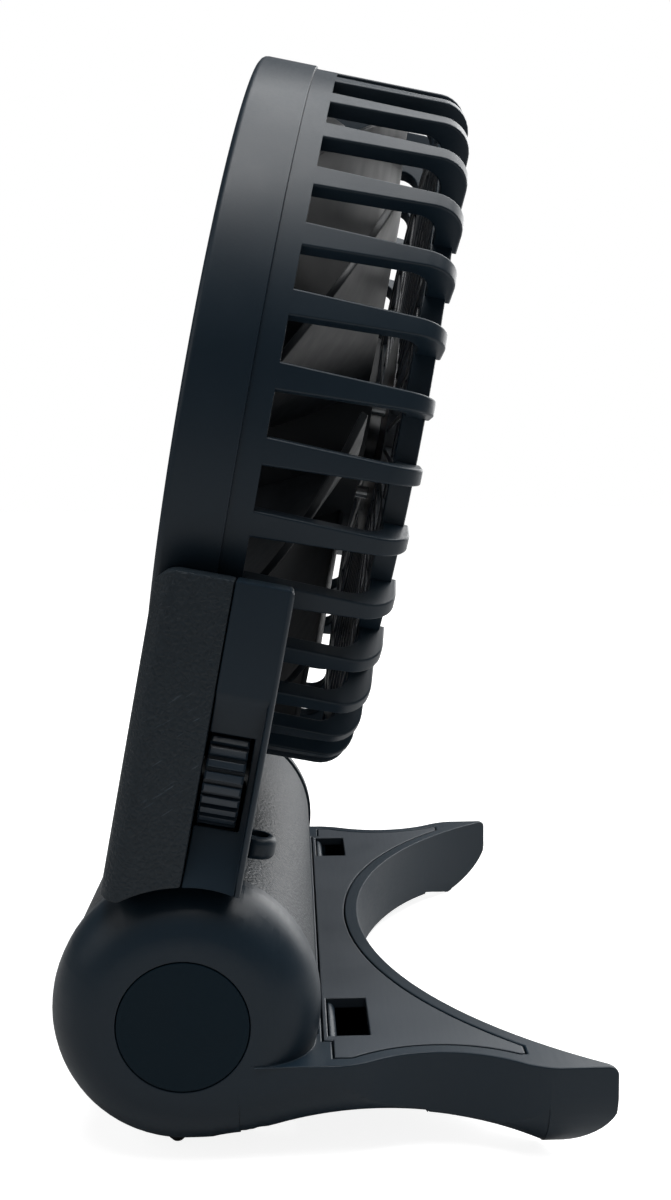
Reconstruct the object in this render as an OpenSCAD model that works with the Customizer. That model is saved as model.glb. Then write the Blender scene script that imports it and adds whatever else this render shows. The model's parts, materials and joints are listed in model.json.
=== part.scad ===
// Folding handheld fan: a round fan head on a leather-grained body, hinged on a crescent base.
// Origin: on the floor, in the middle of the footprint. +X is the air inlet side, where the horns
// of the base point, -X the air outlet, Y the hinge axis, +Z up. Millimetres.

/* [Hinge and base] */
// Half of the width of the base across its two cheeks
base_half_w = 56.6; // [54:0.2:60]
// Radius of the round cheeks
cheek_r = 18; // [17.4:0.1:19]
// Thickness of a cheek along the hinge axis
cheek_w = 9.9; // [8.5:0.1:11]
// Rounding of a cheek's outer edge
cheek_round = 8; // [4:0.1:9]
// Distance from the hinge axis back to the origin
hinge_back = 19.1; // [18:0.1:24]
// Height of the hinge axis above the floor
hinge_h = 19.4; // [19:0.1:22]
// Height of the top of the base
base_top = 13.75; // [12:0.25:16]
// Radius of the crescent's inner edge
crescent_r = 70.4; // [68:0.1:72]
// Distance from the origin to the centre of the crescent's arcs
crescent_x = 76.7; // [75:0.1:79]
// How much further out the horns reach than the cheeks, on each side
horn_flare = 2; // [0.6:0.2:3.4]
// Radius of the waist on each outer side of the base
waist_r = 17.8; // [16:0.2:19]
// Distance of the waist's centre from the outer face of the cheeks
waist_out = 14.3; // [13:0.1:16.5]
// Distance of the waist's centre in front of the origin
waist_x = 13.9; // [10:0.1:16]
// Height of the arch under each side of the base
arch_rise = 4.8; // [2:0.1:5.5]
// Radius of that arch
arch_r = 52; // [46:0.5:60]
// Rounding of the lower outer edges of the base
base_round = 8; // [4:0.1:9]
// Height of the underside between the arches
belly_h = 2.4; // [1:0.1:3]
// Width of the rim between the plate and the crescent's inner edge
rim_w = 2.4; // [1.6:0.1:3.5]
// Thickness of the base plate
plate_t = 1.6; // [1.2:0.1:2.4]
// Radius of the round cap on each cheek
cap_r = 8.6; // [7:0.1:10]
// Length of a window in the base plate, along the hinge
window_len = 12.5; // [8:0.5:16]
// Width of a window in the base plate
window_w = 5.8; // [4:0.1:6.5]
// Distance of a window's middle from the inner face of the cheeks
window_in = 5.5; // [3.5:0.1:9.5]

/* [Body] */
// Tilt of the body from upright, towards the horns
tilt = 11; // [0:1:30]
// Radius of the battery barrel
barrel_r = 17.5; // [16.5:0.1:17.6]
// Wall of the barrel
barrel_wall = 1.9; // [1.4:0.1:2.5]
// How far the body's sides stand out past the cheeks
body_over = 0; // [0:0.2:2.4]
// Front face of the leather-grained cover, from the hinge plane
cover_front = 13.6; // [11.5:0.1:14.5]
// Seam between cover and housing, from the hinge plane
seam_n = 3.4; // [2:0.1:5]
// Rear face of the housing, from the hinge plane
housing_back = 4.25; // [3.5:0.05:5.2]
// Top of the body's shoulders, above the hinge axis
shoulder_h = 58; // [50:0.5:62]
// Height of the cover's lower front corners over the cheeks, above the hinge axis
skirt_h = 14.7; // [13.5:0.1:17]
// Wall of cover and housing
wall = 1.8; // [1.4:0.1:2.2]
// Rounding of the cover's front edges
cover_round = 3; // [1.5:0.1:4]
// Radius of the thumbwheel
wheel_r = 7.9; // [7:0.1:8.5]
// Width of the thumbwheel
wheel_w = 5.1; // [3.5:0.1:5.2]
// How far the thumbwheel stays inside the plane of the body's side, in the scoop
wheel_sunk = 0.4; // [0:0.1:1]
// Height of the thumbwheel's axis above the hinge axis
wheel_u = 32.2; // [31:0.1:36]
// Ridges round the thumbwheel
wheel_ridges = 30; // [20:1:34]
// Depth of the thumb scoop
scoop_depth = 3.3; // [2:0.1:3.4]
// Length of the thumb scoop
scoop_len = 26; // [22:0.1:27]

/* [Fan head] */
// Outer radius of the front ring
head_r = 55; // [53:0.5:55.5]
// Height of the fan axis above the hinge axis
head_up = 80.5; // [79:0.5:86]
// Front edge of the head, from the hinge plane
head_front = 14.4; // [13:0.1:16]
// Depth of the front ring
ring_depth = 8.3; // [7:0.1:10]
// Depth of the plain band behind it
band_depth = 3.3; // [2.5:0.1:5]
// Length of the slots between the ribs
slot_depth = 20.5; // [18:0.5:24]
// Ribs round the rear cage
rib_count = 36; // [24:1:40]
// Thickness of a rib at the band
rib_t = 3.7; // [2.4:0.1:3.9]
// Thickness of a rib at its rear end
rib_end_t = 2.2; // [1.8:0.1:2.4]
// Depth of a rib towards the fan axis
rib_h = 2.3; // [2:0.1:4]
// Depth of a rib on the rear face
rib_back = 3.6; // [2.5:0.1:4]
// Outer corner radius of a rib
rib_corner = 4.5; // [3:0.1:5]
// Radial fins in the rear grille
guard_fins = 36; // [24:1:40]
// Curved fins in the front grille
fin_count = 24; // [12:1:30]
// Blades of the impeller
blade_count = 9; // [5:1:9]
// Tip radius of the impeller
blade_tip_r = 49.4; // [46:0.1:49.6]
// Outer radius of the impeller's hub
hub_r = 16.4; // [15.5:0.1:18]

/* [Battery and electronics] */
// Radius of the battery cell
cell_r = 10.6; // [9:0.1:11]
// Free length between an end of the cell and the hinge pin
cell_gap = 4.3; // [3.4:0.1:9]

/* [Hidden] */

$fn = 96;
eps = 0.01;
// Running gap between body and base, play of pieces that sit in each other, and a seam's width
run_gap = 0.4;
fit_gap = 0.1;
seam_gap = 0.12;
// A length that reaches past any piece, for cuts
far = 300;

charcoal = "#1f2730";
graphite = "#2a323b";
slate = "#3a4148";
cap_black = "#0c181d";
rubber_black = "#15171a";
steel = "#b8bcc0";
copper = "#b4683c";
board_green = "#1e5a3c";
cell_blue = "#2f4a78";

// Hinge
cheek_in = base_half_w - cheek_w;
horn_half_w = base_half_w + horn_flare;
body_half_w = base_half_w + body_over;
waist_y = base_half_w + waist_out;
window_y = cheek_in - window_in;
barrel_half = cheek_in - run_gap;
pin_r = 4;
pin_play = 0.05;
pin_head_t = 1.2;
cap_t = 1.5;
cap_recess = cap_t + 0.1;
pin_seat = base_half_w - cap_recess;
screw_r = 1.5;
screw_head_r = 2.8;
screw_head_t = 1.4;
screw_len = 6;
screw_bore_len = 8;
pin_out = pin_seat - screw_head_t - fit_gap;
barrel_end_t = 4;
barrel_boss = 3;
pin_in = barrel_half - barrel_end_t - barrel_boss;
cell_len = 2 * (pin_in - cell_gap);
washer_t = 0.8;
washer_r = 9;

// Base
arch_x = 6.4;
horn_end = crescent_x - sqrt(crescent_r * crescent_r - (horn_half_w - 0.4) * (horn_half_w - 0.4));
cheek_low = hinge_h - cheek_r;
function arch_half(z) = sqrt(arch_r * arch_r - pow(arch_r - arch_rise + z, 2));
heel_x = arch_x + arch_half(0);
toe_x = arch_x - arch_half(cheek_low);
// Soft turns of each outer side, from cheek to waist and from waist to horn
near_turn_r = 12;
far_turn_r = 10;
turn_step = 0.06;
turn_reach = 8;
side_in = 16;
belly_half_w = cheek_in - 1.2;
belly_r = 120;
belly_x = 10.9;
top_round = 1.2;
horn_end_round = 6.5;
base_floor = 2;
hollow_h = arch_rise + base_floor;
round_from = base_half_w - base_round;
frame_left = -hinge_back + 14;
side_left = -hinge_back + 17.5;
room_half = barrel_half - 6.1;
plate_gap = 0.25;
plate_left = -hinge_back + barrel_r + run_gap + 0.4;
plate_notch = 1.3;
plate_notch_y = cheek_in + 2.1;
plate_half_w = base_half_w - 2.6;
plate_end = horn_end - 11.4;
plate_arc_r = crescent_r + rim_w;
plate_waist_r = waist_r + rim_w;
ledge = 1.4;
window_left = plate_left + 0.6;
foot_r = 1.2;
foot_x = -hinge_back - 1.7;
foot_y = cheek_in + foot_r + 0.3;
foot_sink = 0.9;
hook_t = 1.1;
hook_gap = 0.2;

// Body
cheek_clear = cheek_r + run_gap;
skirt_in = barrel_half;
head_clear = 0.2;
cage_step = 0.4;
cage_r = head_r - cage_step;
cover_back = -seam_n - seam_gap / 2;
housing_front = -seam_n + seam_gap / 2;
rim_round = 0.8;
wheel_y = -(body_half_w - wheel_sunk - wheel_r);
wheel_gap = 0.3;
wheel_n = housing_front + wheel_gap + wheel_w / 2;
well_r = wheel_r + 0.5;
well_back = wheel_n + wheel_w / 2 + 0.5;
ridge_r = 0.55;
axle_r = 1.5;
axle_play = 0.05;
scoop_r = (scoop_len * scoop_len / 4 + scoop_depth * scoop_depth) / (2 * scoop_depth);
scoop_mid = wheel_u - 1.2;
scoop_back = housing_back - 0.8;
thick_side = 5.2;
boss_y = [14, body_half_w - 18.6];
boss_u = 22.8;
boss_r = 2.3;
post_r = 0.9;
post_head_r = 1.8;
post_head_t = 1.2;
board_t = 1;
board_n = cover_back - 2.6;
encoder_t = housing_front - board_n - board_t - 0.2;
board_y = [-(body_half_w - wall - 0.3), -(body_half_w - 12.4)];
board_u = [wheel_u - 11.4, wheel_u + 8.9];
encoder_half = 4;
port_u = 33;
port_n = 0.2;
port_len = 8.9;
port_h = 3.2;
port_deep = 7;
port_board_half = 6;
port_board_deep = 9.6;
loop_r = 2.6;
loop_hole_r = 1.4;
loop_reach = 3.8;
loop_t = 3.1;
loop_y = window_y + 3.3;
loop_u = 20.3;

// Fan head, in depths s behind the front edge
band_s0 = ring_depth + seam_gap;
spigot_s1 = ring_depth + 2;
slot_s0 = ring_depth + band_depth;
head_s1 = slot_s0 + slot_depth;
ring_wall = 2.1;
band_wall = 1.8;
// The ribs' flat outer faces lie this much inside the band, so that their edges meet it
rib_sink = 0.03;
rib_in_r = cage_r - rib_h;
rib_inner = 3;
rib_phase = 6.4;
rim_out_r = 47.6;
rim_in_r = 45.8;
rim_s0 = head_s1 - 3.8;
rim_s1 = head_s1 - 0.7;
grille_hub_r = 17.4;
grille_collar = rim_in_r - fit_gap - 1.2;
guard_fin_t = 1;
guard_ring_r = 32.4;
guard_ring_w = 2.2;
hub_s0 = rim_s0 + 0.2;
hub_s1 = rim_s1 - 1;
boss_s0 = 14;
boss_out = 4.2;
boss_in = 3;
bearing_in = 1.53;
shaft_r = 1.5;
shaft_boss_r = 3.4;
cup_in = hub_r - 2;
cup_s = [8, 26];
yoke_r = [cup_in - 1.45, cup_in - 0.1];
yoke_s = [13.5, 25.2];
magnet_r = [yoke_r[0] - 1.45, yoke_r[0] - 0.05];
magnet_s = [14.8, 24.2];
core_r = magnet_r[0] - 0.5;
core_s = [15.5, 23.5];
cup_front = 2;
motor_screw_r = 9;
fin_s = [1, 2.7];
fin_ring_w = 1.4;
fin_hub_r = 12;
fin_mid_r = 31;
fin_t = 1.2;
fin_sweep = 52;
fin_steps = 8;
grille_out = head_r - ring_wall - fit_gap;
fin_out = grille_out - fin_ring_w;
ledge_s = [3, 4.2];

// Placing
module body_frame() {
    translate([-hinge_back, 0, hinge_h]) rotate([0, tilt, 0]) children();
}

module fan_frame() {
    body_frame() translate([-head_front, 0, head_up]) rotate([0, 90, 0]) children();
}

// A cylinder along the hinge axis, from y0 to y1
module along_y(r, y0, y1) {
    translate([0, y1, 0]) rotate([90, 0, 0]) cylinder(r = r, h = y1 - y0);
}

// A cylinder along the fan's direction, from n0 to n1
module along_n(r, n0, n1) {
    translate([n0, 0, 0]) rotate([0, 90, 0]) cylinder(r = r, h = n1 - n0);
}

module block(x, y, z) {
    translate([x[0], y[0], z[0]]) cube([x[1] - x[0], y[1] - y[0], z[1] - z[0]]);
}

// A tube about Z between radii r and depths s
module tube(r, s) {
    translate([0, 0, s[0]]) difference() {
        cylinder(r = r[1], h = s[1] - s[0]);
        translate([0, 0, -1]) cylinder(r = r[0], h = s[1] - s[0] + 2);
    }
}

// Square with its corners rounded one by one: [low left, low right, high right, high left]
module soft_rect(x, y, r) {
    corners = [[x[0], y[0], 1, 1], [x[1], y[0], -1, 1], [x[1], y[1], -1, -1], [x[0], y[1], 1, -1]];
    difference() {
        translate([x[0], y[0]]) square([x[1] - x[0], y[1] - y[0]]);
        for (i = [0:3]) if (r[i] > 0) {
            c = corners[i];
            difference() {
                translate([c[0] + c[2] * (r[i] / 2 - 0.5), c[1] + c[3] * (r[i] / 2 - 0.5)])
                    square(r[i] + 1, center = true);
                translate([c[0] + c[2] * r[i], c[1] + c[3] * r[i]]) circle(r[i]);
            }
        }
    }
}

// Base
module cheek(side) {
    // The profile lies in radius and distance from the middle plane
    mirror([0, side > 0 ? 1 : 0, 0]) translate([-hinge_back, 0, hinge_h]) rotate([90, 0, 0])
        rotate_extrude() intersection() {
            soft_rect([-cheek_r, cheek_r], [cheek_in, base_half_w], [0, 0, cheek_round, cheek_round]);
            translate([0, cheek_in]) square([cheek_r, cheek_w]);
        }
}

// Everything above an underside that arches about X = x with radius r, h high, down to z0
module above_arch(x, r, h, z0) {
    difference() {
        translate([-far, z0]) square([2 * far, far]);
        translate([x, h - r]) circle(r, $fn = 240);
    }
}

// A stretch of an outer side from x0 to x1 that reaches out to half_w, with its underside at z0.
// Its lower outer edge is rounded from the same inner line on both sides of the waist
module side_bar(half_w, x0, x1, z0) {
    translate([x0, half_w - side_in, 0]) rotate([90, 0, 90]) linear_extrude(x1 - x0)
        soft_rect([0, side_in], [z0, base_top], [0, half_w - round_from, 0, 0]);
}

// The same over the arch
module side_arch(half_w, x0, x1) {
    intersection() {
        translate([arch_x, half_w, arch_rise - arch_r]) rotate([90, 0, 0])
            rotate_extrude($fn = 240) translate([arch_r, 0])
                soft_rect([0, 2 * arch_r], [0, side_in], [half_w - round_from, 0, 0, 0]);
        block([x0, x1], [half_w - side_in, half_w], [0, base_top]);
    }
}

// What lies outside a soft turn of radius r from a side at half_w into the waist
module turn_cut(half_w, way, r) {
    share = waist_r / (waist_r + r);
    dy = waist_y - half_w + r - turn_step;
    dx = sqrt(pow(waist_r + r, 2) - dy * dy);
    x0 = waist_x + way * dx * share;
    x1 = waist_x + way * dx;
    difference() {
        translate([min(x0, x1), waist_y - share * dy, -1]) cube([abs(x1 - x0), turn_reach, base_top + 2]);
        translate([x1, half_w + turn_step - r, -2]) cylinder(r = r, h = base_top + 4);
    }
}

// The sides stand a little wider at the horns than at the cheeks
module outer_side() {
    difference() {
        union() {
            side_bar(base_half_w, -hinge_back, toe_x + eps, cheek_low);
            side_arch(base_half_w, toe_x, waist_x);
            side_arch(horn_half_w, waist_x - 1, heel_x);
            side_bar(horn_half_w, heel_x - eps, horn_end + 3, 0);
        }
        translate([waist_x, waist_y, -1]) cylinder(r = waist_r, h = base_top + 2);
        turn_cut(base_half_w, -1, near_turn_r);
        turn_cut(horn_half_w, 1, far_turn_r);
    }
}

module crescent() {
    difference() {
        union() {
            for (m = [0, 1]) mirror([0, m, 0]) outer_side();
            // The belly between the arches
            translate([0, belly_half_w, 0]) rotate([90, 0, 0]) linear_extrude(2 * belly_half_w)
                intersection() {
                    translate([frame_left - 1, 0]) square([horn_end - frame_left + 1, base_top]);
                    above_arch(belly_x, belly_r, belly_h, 0);
                }
        }
        translate([crescent_x, 0, -1]) cylinder(r = crescent_r, h = base_top + 2, $fn = 240);
        // Between the cheeks the front wall stands clear behind the barrel
        block([-far, frame_left], [-cheek_in, cheek_in], [-1, base_top + 1]);
        block([-far, side_left], [room_half - 0.5, cheek_in], [-1, base_top + 1]);
        block([-far, side_left], [-cheek_in, 0.5 - room_half], [-1, base_top + 1]);
        translate([-hinge_back, 0, hinge_h]) along_y(barrel_r + run_gap + 0.2, -room_half, room_half);
        // Rounded ends of the horns
        translate([horn_end, far / 2, 0]) rotate([90, 0, 0]) linear_extrude(far) difference() {
            translate([-horn_end_round, -1]) square([far, base_top + 2]);
            soft_rect([-far, 0], [0, base_top], [0, horn_end_round, top_round, 0]);
        }
    }
}

// Outline of the plate, grown by gap
module plate_2d(gap) {
    difference() {
        translate([plate_left - gap, -plate_half_w - gap])
            square([plate_end - plate_left + 2 * gap, 2 * (plate_half_w + gap)]);
        translate([crescent_x, 0]) circle(plate_arc_r - gap, $fn = 240);
        for (m = [0, 1]) mirror([0, m]) {
            translate([waist_x, waist_y]) circle(plate_waist_r - gap);
            translate([plate_left - 1 - gap, plate_notch_y + gap]) square([plate_notch + 1, far]);
        }
    }
}

module base_frame() color(charcoal) {
    difference() {
        union() {
            crescent();
            for (side = [-1, 1]) cheek(side);
        }
        // Seat of the plate and the hollow under it
        translate([0, 0, base_top - plate_t - 0.05]) linear_extrude(plate_t + 1) plate_2d(plate_gap);
        translate([0, 0, hollow_h]) linear_extrude(far) plate_2d(-ledge);
        // Hinge bores, cap recesses and washer seats
        for (m = [0, 1]) mirror([0, m, 0]) translate([-hinge_back, 0, hinge_h]) {
            along_y(pin_r + pin_play, cheek_in - 1, base_half_w + 1);
            along_y(cap_r + fit_gap, pin_seat, base_half_w + 1);
            along_y(washer_r + 0.2, cheek_in - 1, cheek_in + washer_t + 0.1);
        }
        // Seats of the feet
        for (y = [-foot_y, foot_y]) translate([foot_x, y, -1])
            cylinder(r = foot_r + fit_gap, h = foot_sink + cheek_low + 1);
    }
    // Snap hooks that reach up into the plate's windows
    for (m = [0, 1]) mirror([0, m, 0]) {
        y0 = window_y - window_len / 2 + hook_gap;
        y1 = window_y + window_len / 2 - hook_gap;
        translate([window_left + hook_gap, 0, 0]) {
            block([0, hook_t], [y0, y1], [hollow_h - 0.5, base_top - plate_t]);
            translate([0, y1, base_top - plate_t]) rotate([90, 0, 0]) difference() {
                cylinder(r = hook_t, h = y1 - y0);
                translate([-far, -far / 2, -1]) cube([far, far, far]);
            }
        }
    }
}

module base_plate() color(graphite) {
    difference() {
        translate([0, 0, base_top - plate_t]) linear_extrude(plate_t) plate_2d(0);
        for (m = [0, 1]) mirror([0, m, 0])
            block([window_left, window_left + window_w],
                [window_y - window_len / 2, window_y + window_len / 2], [0, base_top + 1]);
    }
}

module hinge_cap() {
    translate([-hinge_back, 0, hinge_h]) difference() {
        along_y(cap_r, base_half_w - cap_t, base_half_w);
        along_y(cap_r - 1.4, base_half_w - cap_t - 1, base_half_w - cap_t + 0.5);
    }
}

module hinge_cap_near() color(cap_black) mirror([0, 1, 0]) hinge_cap();

module hinge_cap_far() color(cap_black) hinge_cap();

module hinge_pins() color(steel) for (m = [0, 1]) mirror([0, m, 0])
    translate([-hinge_back, 0, hinge_h]) difference() {
        along_y(pin_r, pin_in, pin_out);
        along_y(screw_r, pin_out - screw_bore_len, pin_out + 1);
    }

module hinge_screws() color(steel) for (m = [0, 1]) mirror([0, m, 0])
    translate([-hinge_back, 0, hinge_h]) difference() {
        union() {
            along_y(screw_r - 0.02, pin_out - screw_len, pin_out + fit_gap);
            along_y(screw_head_r, pin_out, pin_out + screw_head_t);
        }
        translate([-0.4, pin_out + screw_head_t - 0.7, -2]) cube([0.8, 2, 4]);
        translate([-2, pin_out + screw_head_t - 0.7, -0.4]) cube([4, 2, 0.8]);
    }

module friction_washers() color(steel) for (m = [0, 1]) mirror([0, m, 0])
    translate([-hinge_back, 0, hinge_h]) difference() {
        along_y(washer_r, cheek_in + 0.05, cheek_in + washer_t);
        along_y(pin_r + pin_play, cheek_in - 1, cheek_in + washer_t + 1);
    }

module rubber_feet() color(rubber_black) for (y = [-foot_y, foot_y])
    translate([foot_x, y, 0]) {
        cylinder(r1 = foot_r - 0.5, r2 = foot_r, h = 0.5);
        translate([0, 0, 0.5]) cylinder(r = foot_r, h = foot_sink + cheek_low - 0.5 - 0.02);
    }

// Battery barrel
module barrel_shell() color(slate) body_frame() difference() {
    along_y(barrel_r, -barrel_half, barrel_half);
    along_y(barrel_r - barrel_wall, -barrel_half - 1, barrel_half + 1);
}

module barrel_end() {
    body_frame() difference() {
        union() {
            along_y(barrel_r - barrel_wall - fit_gap, barrel_half - barrel_end_t, barrel_half);
            along_y(pin_r + 3, barrel_half - barrel_end_t - barrel_boss, barrel_half);
        }
        along_y(pin_r + pin_play, 0, barrel_half + 1);
    }
}

module barrel_end_near() color(graphite) mirror([0, 1, 0]) barrel_end();

module barrel_end_far() color(graphite) barrel_end();

module battery_cell() color(cell_blue) body_frame() {
    along_y(cell_r, -cell_len / 2, cell_len / 2);
    along_y(3, cell_len / 2 - 0.5, cell_len / 2 + 1);
}

// A trough that holds the cell on the lower half of the barrel
module battery_cradle() color(graphite) body_frame() difference() {
    along_y(barrel_r - barrel_wall - fit_gap, -cell_len / 2 - 2, cell_len / 2 + 2);
    along_y(cell_r + fit_gap, -cell_len / 2 - 0.2, cell_len / 2 + 1.2);
    translate([-far / 2, -far / 2, 2]) cube([far, far, far]);
    for (y = [-24, 0, 24]) block([-far, far], [y - 7, y + 7], [-far, -cell_r - 1.2]);
}

// Body. Profiles lie in the fan's direction n and the height u above the hinge axis
module body_block(n, top_corners, side_round) {
    intersection() {
        translate([0, body_half_w + 1, 0]) rotate([90, 0, 0]) linear_extrude(2 * body_half_w + 2)
            soft_rect(n, [0, shoulder_h], [0, 0, top_corners[1], top_corners[0]]);
        linear_extrude(far) soft_rect(n, [-body_half_w, body_half_w],
            [side_round[0], side_round[1], side_round[1], side_round[0]]);
    }
}

// What the head, the barrel and the cheeks take away, with a wall of w left beside them
module body_cuts(w, ring_r) {
    translate([0, 0, head_up]) along_n(ring_r + head_clear + w, -far, far);
    along_y(barrel_r + fit_gap + w, -skirt_in - 1, skirt_in + 1);
    for (m = [0, 1]) mirror([0, m, 0]) {
        along_y(cheek_clear + w, skirt_in - w, far);
        block([-far, far], [skirt_in - w, far], [-far, skirt_h + w]);
    }
}

module bosses(n0, n1, r) {
    for (y = boss_y, m = [-1, 1]) translate([0, m * y, boss_u]) along_n(r, n0, n1);
}

module front_cover() color(slate) body_frame() difference() {
    union() {
        difference() {
            body_block([-cover_front, cover_back], [cover_round, 0], [cover_round, 0]);
            difference() {
                block([-cover_front + wall, 0], [-body_half_w + wall, body_half_w - wall],
                    [0, shoulder_h - wall]);
                body_cuts(wall, head_r);
            }
        }
        bosses(-cover_front + wall - 0.5, cover_back, boss_r);
    }
    body_cuts(0, head_r);
    bosses(-cover_front + wall + 1, 0, post_r);
}

module control_housing() color(charcoal) body_frame() difference() {
    union() {
        difference() {
            body_block([housing_front, housing_back], [0, rim_round], [0, rim_round]);
            difference() {
                block([-far, housing_back - wall], [-body_half_w + thick_side, body_half_w - wall],
                    [0, shoulder_h - wall]);
                body_cuts(wall, cage_r);
            }
        }
        bosses(housing_front, housing_back - 0.5, boss_r + 0.6);
    }
    body_cuts(0, cage_r);
    bosses(-far, far, post_r + fit_gap);
    bosses(housing_back - post_head_t, far, post_head_r + fit_gap);
    // Thumb scoop, wheel well and axle seat
    translate([0, -body_half_w + scoop_depth - scoop_r, scoop_mid])
        along_n(scoop_r, housing_front - 1, scoop_back);
    translate([0, wheel_y, wheel_u]) {
        along_n(well_r, housing_front - 1, well_back);
        along_n(axle_r + 0.02, 0, housing_back - 0.7);
    }
    // Mouth of the charging socket
    translate([port_n, body_half_w - wall - 1, port_u]) rotate([-90, 0, 0])
        linear_extrude(far) slot_2d(port_h + 2 * fit_gap, port_len + 2 * fit_gap);
}

// A slot with round ends, w wide along x and len long along y
module slot_2d(w, len) {
    square([w, len - w], center = true);
    for (m = [-1, 1]) translate([0, m * (len - w) / 2]) circle(w / 2, $fn = 48);
}

module housing_screws() color(steel) body_frame() difference() {
    union() {
        bosses(-cover_front + wall + 1.5, housing_back - post_head_t, post_r - 0.02);
        bosses(housing_back - post_head_t + 0.02, housing_back - 0.1, post_head_r);
    }
    for (y = boss_y, m = [-1, 1]) translate([housing_back - 0.7, m * y, boss_u]) {
        translate([0, -1.2, -0.25]) cube([1, 2.4, 0.5]);
        translate([0, -0.25, -1.2]) cube([1, 0.5, 2.4]);
    }
}

// Eyes on the rear face of the housing, which enter the plate's windows when the fan is folded
module catch_loops() color(charcoal) body_frame() for (m = [-1, 1])
    translate([housing_back + 0.02, m * loop_y, loop_u]) difference() {
        union() {
            intersection() {
                translate([loop_reach - loop_r, 0, 0]) cylinder(r = loop_r, h = loop_t);
                block([0, far], [-far, far], [-1, far]);
            }
            block([0, loop_reach - loop_r], [-loop_r, loop_r], [0, loop_t]);
        }
        translate([loop_reach - loop_r, 0, -1]) cylinder(r = loop_hole_r, h = loop_t + 2);
    }

module circuit_board() color(board_green) body_frame()
    block([board_n, board_n + board_t], board_y, board_u);

module wheel_encoder() color(rubber_black) body_frame() translate([0, wheel_y, wheel_u])
    difference() {
        block([board_n + board_t, board_n + board_t + encoder_t],
            [-encoder_half, encoder_half], [-encoder_half, encoder_half]);
        along_n(axle_r + 0.02, board_n + board_t + 0.5, 0);
    }

module wheel_axle() color(steel) body_frame() translate([0, wheel_y, wheel_u])
    along_n(axle_r, board_n + board_t + 0.6, housing_back - 0.8);

module speed_wheel() color(graphite) body_frame() translate([0, wheel_y, wheel_u]) difference() {
    translate([wheel_n - wheel_w / 2, 0, 0]) rotate([0, 90, 0]) rotate_extrude() intersection() {
        soft_rect([-wheel_r, wheel_r], [0, wheel_w], [0.6, 0.6, 0.6, 0.6]);
        square([wheel_r, wheel_w]);
    }
    along_n(axle_r + axle_play, -far, far);
    for (i = [0:wheel_ridges - 1]) rotate([i * 360 / wheel_ridges, 0, 0])
        translate([0, 0, wheel_r + 0.1]) along_n(ridge_r, -far, far);
}

module charge_port() color(steel) body_frame() translate([port_n, 0, port_u])
    difference() {
        translate([0, body_half_w - 0.4, 0]) rotate([90, 0, 0])
            linear_extrude(port_deep) slot_2d(port_h, port_len);
        translate([0, body_half_w + 1, 0]) rotate([90, 0, 0])
            linear_extrude(port_deep - 1) difference() {
                slot_2d(port_h - 0.6, port_len - 0.6);
                square([0.8, port_len - 3], center = true);
            }
    }

module charge_board() color(board_green) body_frame()
    block([port_n - port_h / 2 - board_t, port_n - port_h / 2],
        [body_half_w - port_board_deep, body_half_w - wall - 0.3],
        [port_u - port_board_half, port_u + port_board_half]);

// Fan head, about Z in the fan frame
module front_ring() color(charcoal) fan_frame() rotate_extrude() {
    intersection() {
        soft_rect([head_r - ring_wall, head_r], [0, ring_depth], [0.6, 1, 0, 0]);
        square(far);
    }
    // Ledge that carries the grille, and the spigot that enters the cage
    translate([head_r - ring_wall - 1.2, ledge_s[0]])
        square([1.3, ledge_s[1] - ledge_s[0]]);
    translate([cage_r - band_wall - fit_gap - 1.3, ledge_s[1] - 0.1])
        square([1.3, spigot_s1 - ledge_s[1]]);
}

// Half of the angle that a fin's thickness takes at radius r, and the angle of its middle there
function fin_half(r) = asin(fin_t / 2 / r);
function fin_angle(t) = fin_sweep * pow(t, 1.3);
function fin_r(t) = fin_hub_r - 0.5 + (fin_out - fin_hub_r + 1) * t;
fin_outline = [
    for (k = [0:fin_steps]) let (t = k / fin_steps) let (a = fin_angle(t) - fin_half(fin_r(t)))
        [fin_r(t) * cos(a), fin_r(t) * sin(a)],
    for (k = [fin_steps:-1:0]) let (t = k / fin_steps) let (a = fin_angle(t) + fin_half(fin_r(t)))
        [fin_r(t) * cos(a), fin_r(t) * sin(a)]
];

module front_grille() color(graphite) fan_frame() {
    tube([fin_out, grille_out], [fin_s[0] - 0.4, fin_s[1] + 0.2]);
    tube([fin_mid_r, fin_mid_r + fin_t], [fin_s[0] + 0.3, fin_s[1] - 0.3]);
    difference() {
        translate([0, 0, fin_s[0] - 0.2]) cylinder(r = fin_hub_r, h = fin_s[1] - fin_s[0] + 0.4);
        translate([0, 0, fin_s[0] - 1]) cylinder(r = fin_hub_r - 1.1, h = 1.8);
    }
    for (i = [0:fin_count - 1]) rotate([0, 0, i * 360 / fin_count])
        translate([0, 0, fin_s[0]]) linear_extrude(fin_s[1] - fin_s[0]) polygon(fin_outline);
}

module grille_cap() color(cap_black) fan_frame() {
    translate([0, 0, 0.3]) cylinder(r1 = fin_hub_r - 1.9, r2 = fin_hub_r - 1.2, h = 0.7);
    translate([0, 0, 1]) cylinder(r = fin_hub_r - 1.2, h = 0.78);
}

module rib_2d() {
    difference() {
        intersection() {
            translate([rim_in_r + 0.6, spigot_s1 + 0.3])
                square([cage_r - rib_sink - rim_in_r - 0.6, head_s1 - spigot_s1 - 0.3]);
            soft_rect([0, cage_r - rib_sink], [0, head_s1], [0, 0, rib_corner, 0]);
        }
        soft_rect([0, rib_in_r], [0, head_s1 - rib_back], [0, 0, rib_inner, 0]);
    }
}

// A rib that gets thinner from the band to its rear end
module rib() {
    intersection() {
        translate([0, rib_t / 2, 0]) rotate([90, 0, 0]) linear_extrude(rib_t) rib_2d();
        rotate([90, 0, 90]) linear_extrude(head_r) polygon([[-rib_t / 2 - eps, spigot_s1],
            [rib_t / 2 + eps, spigot_s1], [rib_end_t / 2, head_s1 + eps], [-rib_end_t / 2, head_s1 + eps]]);
    }
}

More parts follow.
